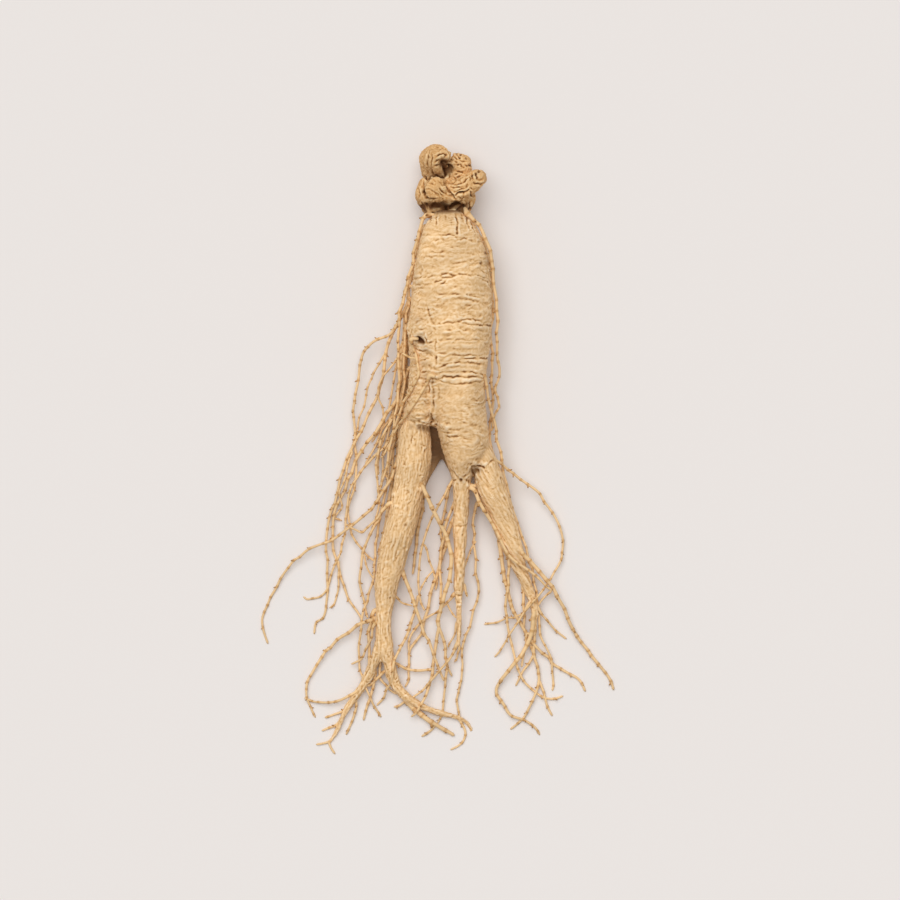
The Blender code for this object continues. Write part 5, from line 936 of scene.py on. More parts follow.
# The length over which a crease fades at its ends, how far its lips lie beside it and how wide they are,
# both in half widths, and how far from it points are looked at.
FADE_LENGTH = 1.5
LIP_AWAY = 2.2
LIP_WIDTH = 1.1
SEARCH_MARGIN = 3
# The gap left under the skin, the relief that counts as full, and the rounds that average what is around.
TABLE_GAP = 0.02
RELIEF_SCALE = 0.28
AROUND_TIMES = 12


def crease_depths(points, upward, creases, spots, lip=0.3, depth_share=CREASE_DEPTH_SHARE):
    """The rise or fall at each point from creases and spots, and how dark soil and painted shade leave it:
    pits are darkened. For a crease it is depth * (lip * bell(distance - LIP_AWAY half widths) -
    bell(distance)), fading out over its last FADE_LENGTH, and deeper and shallower along its way."""
    drawn = points[:, :2] + np.stack([0.3 * noise(points, 2.2, 71) + 0.15 * noise(points, 0.9, 72),
                                      0.3 * noise(points, 2.2, 73) + 0.15 * noise(points, 0.9, 74)], axis=1)
    uneven = np.clip(1 + 0.8 * noise(points, 2.0, 75), 0.3, 1.6)
    depth = np.zeros(len(points))
    facing = np.clip(upward * 2.5 + 1.1, 0, 1)
    for looks, table_width, line in creases:
        fall, half_width = depth_share * looks, CREASE_WIDTH_SHARE * table_width
        low, high = np.min(line, axis=0) - SEARCH_MARGIN, np.max(line, axis=0) + SEARCH_MARGIN
        near = np.flatnonzero(((drawn > low) & (drawn < high)).all(axis=1) & (facing > 0))
        away, from_end = beside_line(drawn[near], line)
        fade = np.clip(0.25 + from_end / FADE_LENGTH, 0, 1) * facing[near] * uneven[near]
        raised = lip * bell(away - LIP_AWAY * half_width, LIP_WIDTH * half_width)
        depth[near] += fall * fade * (raised - bell(away, half_width))
    soil_and_shade = np.zeros(len(points))
    for x, y, radius, rise in spots:
        away = np.linalg.norm(drawn - (x, y), axis=1)
        depth += rise * bell(away, radius) * facing
        # A pit is darkened: soil and painted shade in the hollow.
        if rise < 0:
            patch = min(1, -rise) * bell(away, 1.1 * radius) * np.minimum(1, facing + 0.5)
            soil_and_shade = np.maximum(soil_and_shade, patch)
    return depth, soil_and_shade


def soil_and_shade_patches(points, patches):
    """The darkness from soil and painted shade at each point: the most that any patch gives it, a bell of
    the distance in plan.
    """
    return np.max([darkness * bell(np.linalg.norm(points[:, :2] - (x, y), axis=1), radius)
                   for x, y, radius, darkness in patches], axis=0)


def keep_on_table(points):
    """No point lower than just over the table."""
    return np.maximum(points, (-np.inf, -np.inf, TABLE_GAP))


def store(mesh, name, values):
    """A number kept at each point of a mesh, for its material to read."""
    layer = mesh.attributes.new(name, "FLOAT", "POINT")
    layer.data.foreach_set("value", values.astype(np.float32))


def wrinkle(piece, height_at):
    """Pushes each point out by its height, and keeps two numbers there: `relief`, how far it stands above
    (0 to 1) or below (0 to -1) its surroundings, and how dark soil and painted shade leave it."""
    points, edges, outward = read_mesh(piece.data)
    height, soil_and_shade = height_at(points, outward)
    around = averaged(height[:, None], edges, AROUND_TIMES)[:, 0]
    write_points(piece.data, keep_on_table(points + outward * height[:, None]))
    store(piece.data, "relief", np.clip((height - around) / RELIEF_SCALE, -1, 1))
    store(piece.data, "soil_and_shade", np.clip(soil_and_shade, 0, 1))
    print(piece.name, "height, mm:", np.percentile(height, (1, 50, 99)).round(2))


def eased_step(values, start, end):
    """0 before start, 1 after end, and a smooth rise between."""
    share = np.clip((values - start) / (end - start), 0, 1)
    return share * share * (3 - 2 * share)


def body_height(points, outward):
    """The limbs' wrinkles, the creases, the ragged lip of flesh over the top of the left leg, and the
    rough strip left of the seam. The web in the fork is smooth and painted dark brown as the fork's shade,
    and the neck's edge is painted dark as the shade where the trunk meets the rhizome."""
    x, y, z = points.T
    ragged = bell(y - 8.3, 1.4) * (x < 0.5) * noise(points, 1.3, 76)
    creased, soil_and_shade = crease_depths(points, outward[:, 2], CREASES, SPOTS)
    # The web in the fork: smoothed, and painted dark brown as the fork's shade.
    shade_web = (x > -5) * (x < 5.5) * (y < 7.5) * (z < 7.5) * (y > -14) * (0.5 + 0.5 * eased_step(y, -8, -1))
    shade_web = shade_web * np.where(y > -2, 1, eased_step(-z, -4.2, -2.8))
    limbs = limb_wrinkles(points)
    strip = eased_step(-x, 1.6, 3.0) * eased_step(y, 8, 12) * (1 - eased_step(y, 38, 46))
    flaking = 0.14 * strip * hills(warped(points, 2.0, 0.5, 79), (1.5, 1.2, 1.5), 80)
    # Darkness kept for the material: soil and painted shade in pits and patches, the web painted as the
    # fork's shade, and painted shade at the neck's edge where it meets the rhizome.
    dark = np.maximum.reduce([soil_and_shade, 0.85 * shade_web, 0.9 * eased_step(y, 75, 76.2), soil_and_shade_patches(points, BODY_SOIL_AND_SHADE)])
    return (1 - 0.8 * shade_web) * limbs + 0.5 * ragged + flaking + creased, dark


NEAREST_BATCH = 20000


def nearest_place(points, places):
    """The number of the place that is nearest to each point, found for one batch of points at a time."""
    batches = np.array_split(points, len(points) // NEAREST_BATCH + 1)
    return np.concatenate([((batch[:, None] - places) ** 2).sum(axis=2).argmin(axis=1) for batch in batches])


def tube_frame(points, route, radii):
    """Like `straightened`, for a limb that bends any way: the place across, along and above the nearest
    point of its route, and how far out that is."""
    along = unit(np.gradient(route, axis=0))
    side = unit(np.cross(along, (0, 0, 1)))
    above = np.cross(side, along)
    nearest = nearest_place(points, route)
    offset = points - route[nearest]
    across, onward, over = ((offset * way[nearest]).sum(axis=1) for way in (side, along, above))
    at = np.stack([across, distance_along(route)[nearest] + onward, over], axis=1)
    return at, np.linalg.norm(offset, axis=1) / radii[nearest]


# The ragged bark lies between these two levels, and comes and goes over BARK_EASE inside them.
BARK_TOP = -56
BARK_END = -84
BARK_EASE = 8


def left_leg_height(points, outward):
    """The fibres of the leg and of the two toes that it splits into, mixed by which is nearest, and the
    ragged bark where they part."""
    frames = [straightened(points, LIMBS["left_leg"])] + [tube_frame(points, *toe) for toe in TOES.values()]
    shares = np.stack([nearness(out) for _, out in frames])
    wrinkles = np.stack([leg_wrinkles(at) for at, _ in frames])
    mixed = (shares * wrinkles).sum(axis=0) / np.maximum(shares.sum(axis=0), 1e-12)
    y = points[:, 1]
    bark = np.clip(-(y - BARK_TOP) / BARK_EASE, 0, 1) * np.clip((y - BARK_END) / BARK_EASE, 0, 1)
    rough = bark * (0.12 * hills(points, (1.1, 3.4, 1.1), 77) + 0.06 * hills(points, 0.9, 78))
    creased, soil_and_shade = crease_depths(points, outward[:, 2], LEFT_LEG_CREASES, LEFT_LEG_SPOTS)
    # The darkness: soil and painted shade in the pits, and the painted shadow under the lip of flesh.
    return mixed + rough + creased, np.maximum(soil_and_shade, soil_and_shade_patches(points, LEFT_LEG_LIP_SHADOW))


wrinkle(body, body_height)
wrinkle(left_leg, left_leg_height)

# %% [markdown]
# ## The rhizome
#
# Each autumn the stem drops off and leaves a bowl-shaped scar, and the next bud grows beside it, so the
# head of an old root is a knot of stubby knobs. Their skin is folded far more strongly than the trunk's,
# in ropes that swirl along each knob. The same hills of noise serve, stretched along each knob's own
# direction: the nearest knob gives the direction, and the deep folds between knobs are left as they met.

# %% Folds along the knobs
def knob_frames():
    """Middle points of all the rhizome's knobs, and each one's direction."""
    middles, directions = [], []
    for name, (points, _) in KNOBS.items():
        if name == "branch_scar":
            continue
        route = smooth_route(points, KNOB_STEP)
        middles.append(route)
        directions.append(unit(np.gradient(route, axis=0)))
    return np.vstack(middles), np.vstack(directions)


# Each fold between and on the knobs: depth, half width, and its points as x, y.
RHIZOME_CREASES = [
    (1.0, 0.35, [(-2.9, 95.2), (-3.3, 93.4), (-3.6, 91.4), (-3.4, 90.2)]),
    (0.4, 0.3, [(-2.1, 94.8), (-1.9, 93), (-2.3, 91), (-2.1, 89.8)]),
    (0.6, 0.32, [(-0.8, 93.2), (0.6, 94.2), (1.8, 94.5), (2.6, 94), (2.3, 93.3)]),
    (0.45, 0.3, [(-3, 95.6), (-1, 96.3), (1.5, 96.3), (3, 95.5), (3.9, 94), (4.2, 92)]),
    (0.5, 0.3, [(3, 96.8), (3.5, 95.6), (4.1, 94)]), (0.45, 0.3, [(-1.3, 97), (0, 96.9), (1, 97.1)]),
    (0.7, 0.35, [(-1.6, 90.2), (-0.6, 90.5), (0.8, 90.4)]),
    (0.7, 0.35, [(-1.2, 91.6), (-0.5, 92.2), (0.6, 92.4)]),
    (0.6, 0.35, [(-2.7, 89.8), (-1.8, 88.4), (-0.8, 87.6)]),
    (0.5, 0.3, [(-0.8, 89.6), (0.2, 89), (1, 89.2)]),
    (0.45, 0.3, [(-4.6, 93.6), (-4.9, 91.6), (-4.6, 89.6)]),
    (0.4, 0.3, [(-3.8, 89.4), (-3.2, 88.2), (-2.6, 87.6)]),
    (1.6, 0.6, [(2.2, 89.6), (2.2, 88.4), (1.8, 87)]), (0.9, 0.4, [(3.4, 92.4), (4, 91.2), (4.2, 90)]),
    (1.1, 0.45, [(-5, 87.8), (-3.6, 87), (-2, 87.1), (-0.5, 87.7), (1, 87.3), (2, 86.6)]),
    (1.1, 0.45, [(-2.4, 87), (-3.6, 85.8), (-4.2, 84.4), (-4.4, 82.6), (-4.2, 81), (-3, 80.2),
        (-1.5, 79.8), (0, 79.6)]),
    (0.4, 0.3, [(-2.3, 83.2), (-1, 81.8), (-0.1, 80.6)]),
    (0.35, 0.3, [(-1.4, 82.6), (0.2, 81.2), (0.6, 80.2)]),
    (0.3, 0.3, [(-3.6, 83.4), (-2.6, 83.4), (-2, 82.8)]),
    (0.3, 0.3, [(-3, 85.2), (-1.6, 85), (-0.2, 84.2)]),
    (0.5, 0.3, [(0.2, 83.8), (0.9, 82.6), (2, 81.9), (2.8, 81.6)]),
    (0.45, 0.3, [(0.2, 82.4), (1, 81.3), (2, 80.7)]), (0.4, 0.3, [(1, 84.6), (2.2, 84.4), (3, 83.6)]),
    (0.4, 0.3, [(0.4, 86), (1, 85.2), (1.8, 85.2)]),
    (1.0, 0.4, [(1.9, 86.2), (2.7, 84.7), (3.2, 83.2), (4, 81.9), (5, 80.5), (5.6, 79.8)]),
    (0.8, 0.4, [(2.7, 85.8), (3.5, 85.2), (4.8, 85.5), (5.4, 86)]),
    (0.8, 0.35, [(5.6, 86.9), (6.6, 87.2), (7.4, 87.7)]),
    (0.45, 0.3, [(5, 86.4), (6.4, 86.2), (8, 87), (9.2, 87.8)]),
    (0.5, 0.3, [(4.3, 84.8), (6, 84.7), (7.8, 85.2), (9, 86.4), (10, 87.1)]),
    (0.55, 0.3, [(3.9, 83.8), (5.8, 83.9), (7.4, 83.6), (8.6, 84.1), (9.6, 85.1)]),
    (0.6, 0.32, [(4.2, 82.9), (5.6, 82.2), (7, 82.8), (8.6, 83.5), (9.8, 84.4)]),
    (1.1, 0.4, [(5, 81.6), (5.6, 81.3), (6.4, 81.7), (8, 81.9), (9, 82.4), (10, 83)]),
    (0.6, 0.35, [(10.6, 88.8), (10.9, 87.4), (11, 86)]),
    (0.6, 0.35, [(11.9, 88.8), (12.2, 87.6), (12.4, 86.5), (12.9, 85.8)]),
    (0.5, 0.3, [(12.8, 85.9), (13.8, 86.1), (14.7, 86.8)]),
    (0.6, 0.35, [(11.4, 85.4), (12.2, 84.9), (13.5, 84.8), (14.8, 85.2)]),
    (0.45, 0.3, [(10, 88.2), (10.4, 86.8), (10.2, 85.4)]),
    (0.8, 0.35, [(4.6, 94.3), (5.4, 93.5), (6.1, 93)]),
    (0.6, 0.3, [(5.9, 94.7), (6.6, 93.9), (7.5, 93.4)]),
    (0.9, 0.4, [(4.4, 94.6), (4.5, 92.8), (4.3, 91), (4.5, 89.8)]),
    (0.4, 0.3, [(5, 92.6), (5.8, 91.8), (6.2, 91)]), (0.5, 0.3, [(5, 91), (6.2, 90.8), (7.2, 91.2)]),
    (0.5, 0.3, [(7, 91.6), (7.6, 90.5), (8.2, 90)]), (0.4, 0.3, [(8.4, 91), (9.4, 90.6), (10.2, 90.8)]),
    (0.4, 0.3, [(6.8, 92.6), (8, 92.2), (9.4, 92.4)]),
    (0.7, 0.35, [(5, 89.3), (6.4, 89), (7.6, 88.8), (8.4, 88.6)]),
    (0.5, 0.3, [(5, 88.3), (6, 88.2), (7, 88.5)]), (0.5, 0.3, [(4.6, 87.8), (5.2, 87), (5.8, 86.6)]),
    (0.4, 0.3, [(3.4, 88.8), (3.6, 87.4), (3, 86.4)]),
    (0.8, 0.35, [(10, 82.3), (10.6, 81.4), (11.6, 81)]), (0.5, 0.3, [(10, 83.6), (11.2, 83), (12, 83.2)]),
    (0.5, 0.3, [(7.2, 79.4), (8, 80.4), (8.2, 81.2)]),
    (0.9, 0.4, [(10.3, 79.6), (10.4, 77.5), (10.2, 76.2)]),
    (0.5, 0.3, [(6, 80.8), (7.2, 80.4), (9.4, 80.6)]),
    (0.5, 0.3, [(8.8, 79.4), (9.4, 78.4), (9.2, 77.4)]),
    (1.5, 0.7, [(-2, 78.2), (0, 77.6), (2, 76.9), (3.6, 77.6), (5.4, 78.3), (7, 78.2)]),
    (1.0, 0.5, [(-1.6, 79.2), (0.2, 78.8)]),
    (0.9, 0.45, [(-5.9, 79.6), (-5.6, 77.6), (-5.3, 76.2), (-4.8, 75.2)]),
    (0.9, 0.5, [(-1.8, 75.2), (0.2, 75.1), (3, 75.5), (6, 75.6), (8.2, 75)]),
    (0.6, 0.35, [(3.4, 76), (4.6, 76), (6, 75.8)]),
    (0.7, 0.35, [(-4.6, 86.2), (-4.9, 84.6), (-4.6, 83.2), (-5.3, 81.6)]),
    (0.5, 0.3, [(-6, 83.6), (-5.9, 82), (-6.4, 80.6)]),
    (0.5, 0.3, [(-3.6, 79.6), (-2.6, 79.2), (-1.4, 79.4)]),
    (0.45, 0.3, [(1.4, 80), (2, 79.2), (3, 78.9)]), (0.45, 0.3, [(2.6, 81.3), (4, 81), (4.8, 80)]),
]
RHIZOME_SPOTS = [
    (2.1, 91, 1.6, -2.4), (2.6, 89.8, 1.5, -1.2), (3, 91.8, 0.9, -1.0), (1.4, 76.7, 1.5, -2.0),
    (-4, 77.9, 1.0, -1.6), (7.9, 76.8, 1.1, -1.6), (5.8, 78.4, 0.9, -1.0), (12.1, 88.2, 0.5, -0.8),
    (13, 89.1, 0.4, -0.7), (11, 87.7, 0.4, -0.6), (5.9, 95.2, 0.35, -0.5), (7.2, 94.6, 0.35, -0.5),
    (7, 93.5, 0.4, -0.6), (9.1, 93.3, 0.35, -0.5), (10.3, 91.1, 0.4, -0.5), (1.8, 83.3, 0.9, 0.5),
    (3.3, 80.1, 0.9, 0.5), (0.4, 92.9, 0.6, 0.5), (1.6, 93.6, 0.7, 0.4), (3.4, 78.3, 0.9, 0.5),
    (5, 76.6, 0.9, 0.4), (-0.9, 76.1, 0.6, 0.5),
]


ROPE_SQUEEZE = 0.7


def rhizome_height(points, outward):
    """Ropes of skin, read where the distance along the knob is squeezed to under a third, and the folds
    drawn on top of them."""
    middles, directions = knob_frames()
    direction = directions[nearest_place(points, middles)]
    along = (points * direction).sum(axis=1)
    swirl = warped(points - ROPE_SQUEEZE * along[:, None] * direction, 2.6, 0.7, 81)
    creased, soil_and_shade = crease_depths(points, outward[:, 2], RHIZOME_CREASES, RHIZOME_SPOTS, 0.12, 0.9)
    # Soil and painted shade: darker in pits and deep folds, and painted shade in the collar where the
    # rhizome meets the trunk.
    soil_and_shade = np.maximum(1.2 * soil_and_shade, np.clip(-0.9 * creased - 0.2, 0, 0.9))
    collar = bell(points[:, 1] - 77.2, 2.1) * np.clip(0.85 + 1.3 * noise(points, 2.2, 89), 0, 1.2)
    return (0.3 * noise(points, 3.4, 84) + 0.12 * hills(swirl, 2.1, 85) + 0.08 * hills(swirl, 1.0, 86)
            + 0.06 * hills(points, 0.9, 87) + 0.05 * noise(points, 0.5, 88) + creased - 0.6 * collar,
            np.maximum(soil_and_shade, 0.9 * collar))


wrinkle(rhizome, rhizome_height)

# %% [markdown]
# ## Rootlets
#
# The rootlets are wiry and knotted: wherever a hair of a root broke off, a small dark bead is left, and
# the strand kinks there. A bevelled curve would give one thickness and one smoothness everywhere. Instead
# each strand is a profile carried along a path: circles whose size swells at the beads, on a route that
# bends at each of them. A strand that crosses the front of the body is first lifted on to its skin.

# %% One strand
STRAND_STEP = 0.5
STRAND_SIDES = 8
SUNK = 2.5
BEAD_GAP = (1.8, 5.2)
BEAD_LENGTH = 0.4
BEAD_SWELL = 0.28
KINK = 0.22
BARE_TIP = 1.0
DEEP_ENOUGH = 0.5
COLLAR_LENGTH = 1.5
COLLAR_SWELL = 0.5
VISUAL_RADIUS = 0.82
THICK_STRAND = 0.8
UNEVENNESS = 0.1
TIP_TAPER = 0.55
BEAD_MARK = 0.5
STRAND_GAP = 0.03


def bead_places(length, draw):
    """Distances along a strand, with gaps drawn between the least and the most."""
    gaps = draw.uniform(*BEAD_GAP, max(1, int(length / BEAD_GAP[0])))
    places = np.cumsum(gaps)
    return places[places < length - BARE_TIP]


def sunk_start(points, axis):
    """The points with one more before them, sunk into the middle line that the strand grows from."""
    first = np.array(points[0], float)
    inward = axis[np.linalg.norm(axis - first, axis=1).argmin()] - first
    depth = float(np.linalg.norm(inward))
    if depth < DEEP_ENOUGH:
        return list(points)
    return [first + inward * min(1.0, SUNK / depth)] + list(points)


# Strands that run over the front of the body, and the part of it that they cross: x below the one number,
# y between the other two.
ON_THE_BODY = ("scar_strand", "seam_strand", "scar_curl")
CROSSED_X = 2
CROSSED_Y = (5, 40)
# How far out of the skin their middles lie, in radii: before the route is eased, and at least.
LAID_OUT = 0.6
LEAST_OUT = 0.3
BODY_REACH = 0.6
EASING_SPAN = 5


def laid_on_body(route, radius):
    """The route lifted, where it runs over the body, so that it lies on the skin: at least as high as the
    highest skin within BODY_REACH of it from above, plus LAID_OUT radii."""
    skin, _, _ = read_mesh(body.data)
    x, y, _ = skin.T
    skin = skin[(x < CROSSED_X) & (y > CROSSED_Y[0]) & (y < CROSSED_Y[1])]
    over = np.linalg.norm(skin[None, :, :2] - route[:, None, :2], axis=2) < BODY_REACH
    top = np.where(over, skin[:, 2], -np.inf).max(axis=1)
    lifted = np.maximum(route[:, 2], top + LAID_OUT * radius)
    padded = np.pad(lifted, EASING_SPAN // 2, mode="edge")
    eased = np.convolve(padded, np.full(EASING_SPAN, 1 / EASING_SPAN), mode="valid")
    return np.column_stack([route[:, :2], np.maximum(eased, top + LEAST_OUT * radius)])


def strand(points, start_radius, end_radius, collared, laid, draw):
    """The route of one strand, its rings, its marks (BEAD_MARK at a bead, 0 between), its beads as place
    and radius, and their numbers along the route."""
    route = smooth_route(points, STRAND_STEP)
    along = distance_along(route)
    places = bead_places(along[-1], draw)
    knots = np.concatenate([[0], places, along[-1:]])
    kinks = np.vstack([np.zeros(3), draw.normal(0, KINK, (len(places), 3)) * (1, 1, 0.5), np.zeros(3)])
    route = route + np.stack([np.interp(along, knots, kinks[:, axis]) for axis in range(3)], axis=1)
    if laid:
        route = laid_on_body(route, start_radius)
    radii = VISUAL_RADIUS * np.interp(along, (0, along[-1]), (start_radius, end_radius))
    line = np.stack([along, np.zeros(len(along)), np.full(len(along), draw.uniform(0, 100))], axis=1)
    radii = radii * (1 + UNEVENNESS * noise(line, 1.6, 92))
    marks = np.zeros(len(along))
    for place in places:
        marks = np.maximum(marks, bell(along - place, BEAD_LENGTH))
    collar = bell(along - SUNK, COLLAR_LENGTH) if collared and start_radius < THICK_STRAND else 0
    radii = radii * (1 + BEAD_SWELL * marks + COLLAR_SWELL * collar)
    radii[-1] *= TIP_TAPER
    route[:, 2] = np.maximum(route[:, 2], radii + STRAND_GAP)
    at = np.searchsorted(along, places)
    beads = [(route[i], radii[i]) for i in at]
    return route, circles(route, radii, STRAND_SIDES), BEAD_MARK * marks, beads, at


# A stub's three rings: how far out, how thick and how dark. Then its sides and its least height.
STUB_REACH = np.array([0.2, 0.75, 1.0])
STUB_SIZES = np.array([0.7, 0.5, 0.34])
STUB_MARKS = np.array([0.3, 0.6, 1.0])
STUB_SIDES = 5
STUB_GAP = 0.2


def stub(place, radius, direction, length):
    """A short blunt cone from a strand's middle out past its skin: where a hair of a root broke off."""
    route = place + np.outer(STUB_REACH * (radius + length), direction)
    route[:, 2] = np.maximum(route[:, 2], STUB_GAP)
    return circles(route, radius * STUB_SIZES, STUB_SIDES)


print("beads on 60 mm of strand:", len(bead_places(60.0, np.random.default_rng(1))))

# %% [markdown]
# ## From strands to pieces
#
# All the strands that grow from one limb make one piece. Each starts inside the limb that it grows from,
# so the middle lines of the limbs come first.

# %% Joining strands
def join_tubes(name, tubes, marks):
    """One piece from many closed tubes, with the marks kept at their points."""
    points, faces, kept, used = [], [], [], 0
    for rings, mark in zip(tubes, marks):
        count, sides, _ = rings.shape
        tube_points, _ = closed_tube(rings)
        points.append(tube_points)
        faces += tube_faces(count, sides, used)
        kept.append(np.concatenate([np.repeat(mark, sides), mark[:1], mark[-1:]]))
        used += len(tube_points)
    mesh = bpy.data.meshes.new(name)
    mesh.from_pydata((keep_on_table(np.vstack(points)) * MM).tolist(), [], faces)
    store(mesh, "mark", np.concatenate(kept))
    mesh.shade_smooth()
    return new_object(name, mesh)


def middle_lines():
    """The middle line of each limb and knob, for rootlets to start from."""
    lines = {}
    for name, sections in LIMBS.items():
        levels, (middle_x, middle_z, _, _) = limb_lines(sections)
        lines[name] = np.stack([middle_x, levels, middle_z], axis=1)
    for name, (points, _) in KNOBS.items():
        lines[name] = smooth_route(points, KNOB_STEP)
    return lines


print("middle lines:", len(middle_lines()))

# %% [markdown]
# ## Strands at the back
#
# Behind the strands that can be followed lies a darker layer, close to the body and low on the table.
# Only bits of it show, so these routes are a guess at how the bits join up.

# %% Routes at the back
BACK_STRANDS = {
    "back_long": ("trunk", 0.95, 0.6, [
        (-8.6, 48, 5), (-9.4, 43, 4), (-9.7, 38, 3.4), (-9.9, 30, 3), (-10.1, 24, 2.6), (-10.5, 18, 2.4),
        (-11.4, 12, 2.2), (-12.4, 7, 2), (-12.9, 2, 1.8), (-13.3, -3, 1.7), (-14.2, -8, 1.6),
        (-15.2, -13, 1.6), (-15.9, -18, 1.6), (-16.7, -23, 1.5), (-17.8, -28, 1.3), (-18.8, -34, 1.2)]),
    "back_second": ("trunk", 0.85, 0.5, [
        (-9.2, 46, 7), (-10.1, 40, 6), (-10.5, 34, 5.2), (-10.9, 28, 4.6), (-11.2, 22, 4),
        (-11.8, 16, 3.4), (-12.9, 10, 2.8), (-13.8, 5, 2.4), (-14.2, 0, 2.2), (-14.6, -5, 2.2),
        (-15.4, -9.6, 2.4)]),
    "back_third": ("trunk", 0.6, 0.45, [
        (-9.8, 38, 6.4), (-11.4, 33, 5.6), (-11.9, 28, 5), (-12.1, 24, 4.4), (-12.8, 18, 3.8),
        (-14, 13, 3.4), (-15.6, 8.4, 3), (-17.2, 4.4, 2.6), (-18.6, 0.5, 2.4), (-19.4, -4, 2.2),
        (-19.2, -8, 2)]),
    "back_fourth": ("trunk", 0.55, 0.4, [
        (-9.9, 34, 4.4), (-10.9, 29, 4), (-11.3, 23, 3.4), (-12.4, 17.4, 3), (-14, 13, 2.8),
        (-16, 9.6, 2.6), (-18, 6.6, 2.2), (-19.4, 3, 2), (-21.4, -1, 1.8), (-23.4, -4.6, 1.6)]),
    "back_fifth": ("trunk", 0.5, 0.4, [
        (-9.6, 26, 5), (-11, 21, 5), (-12, 16.4, 4.6), (-13.4, 12, 4), (-15.4, 7.4, 3.6), (-16.4, 3, 3),
        (-17.4, -1, 2.6), (-18, -5.6, 2.2), (-18.2, -10, 2)]),
    "back_inner": ("left_leg", 0.8, 0.45, [
        (-4.4, -10, 2.6), (-4.8, -16, 2), (-5.6, -22, 1.6), (-6.6, -28, 1.4), (-7.6, -34, 1.2),
        (-8.2, -40, 1.1)]),
    "back_middle": ("middle_leg", 0.5, 0.4, [
        (4, -11, 2.6), (2.4, -17, 1.6), (1.4, -24, 1.2), (1, -31, 1), (0.2, -38, 0.9), (-0.8, -45, 0.8)]),
}
print("strands at the back:", len(BACK_STRANDS))

# %% [markdown]
# ## Growing them
#
# A rootlet can be built once the line that it starts from is known, so the table is gone through until
# none waits. At most beads a short stub is left, turned partly upwards, where the hair broke off.

# %% Grow the rootlets
FIRST_SEED = 900
BARE_BEADS = 0.3
STUB_UPWARD = 0.8
STUB_LEAN = 0.5
STUB_LENGTH = (0.1, 0.8)


def grow_rootlets():
    """Every strand with its stubs, gathered under the limb that it grows from in the end."""
    axes, limb_of = middle_lines(), {name: name for name in (*LIMBS, *KNOBS)}
    gathered = {}
    limb_names = set(axes)
    waiting = ROOTLETS | BACK_STRANDS
    seeds = itertools.count(FIRST_SEED)
    while waiting:
        for name in [name for name, (parent, *_) in waiting.items() if parent in axes]:
            parent, start_radius, end_radius, points = waiting.pop(name)
            draw = np.random.default_rng(next(seeds))
            route, rings, marks, beads, at = strand(
                sunk_start(points, axes[parent]), start_radius, end_radius, parent in limb_names,
                name in ON_THE_BODY, draw)
            axes[name] = route
            limb_of[name] = limb_of[parent]
            if name in TOES:
                continue
            tubes, tube_marks = gathered.setdefault(limb_of[name], ([], []))
            tubes.append(rings)
            tube_marks.append(marks)
            along = unit(np.gradient(route, axis=0))
            for (place, radius), i in zip(beads, at):
                if draw.random() < BARE_BEADS:
                    continue
                side = unit(np.cross(along[i], draw.normal(size=3) + (0, 0, STUB_UPWARD)))
                direction = unit(side + STUB_LEAN * along[i])
                tubes.append(stub(place, radius, direction, draw.uniform(*STUB_LENGTH)))
                tube_marks.append(STUB_MARKS)
    return gathered


rootlet_pieces = []
for limb, (tubes, marks) in grow_rootlets().items():
    piece = join_tubes(limb + "_rootlets", tubes, marks)
    rootlet_pieces.append(piece)
    print(piece.name, "has", len(tubes), "strands and stubs,", len(piece.data.polygons), "faces")

# %% [markdown]
# ## Dried root skin
#
# The real material is a thin cork skin, dried matt and slightly waxy, the colour of pale straw where it
# is stretched and rubbed, and brown where soil stays in its folds. Colour follows the relief that was
# kept while wrinkling: a ramp runs from deep brown through tan to straw, so it also paints shade into the
# folds and highlight on to the ridges. Two noises vary it, one as broad blotches and one as fine grain,
# and the fine grain also gives the bump.

# %% Skin materials
SOIL_AND_SHADE_BROWN = "#5E3715"
SKIN_GLOSS = 0.35
GRAIN_SHARE = 0.55
BLOTCH_RANGE = (0.86, 1.08)
BUMP_STRENGTH = 0.5


def plain_material(name, roughness, gloss):
    """A new material with its roughness and gloss set, and its surface node."""
    material = bpy.data.materials.new(name)
    material.use_nodes = True
    surface = material.node_tree.nodes["Principled BSDF"]
    surface.inputs["Roughness"].default_value = roughness
    surface.inputs["Specular IOR Level"].default_value = gloss
    return material, surface


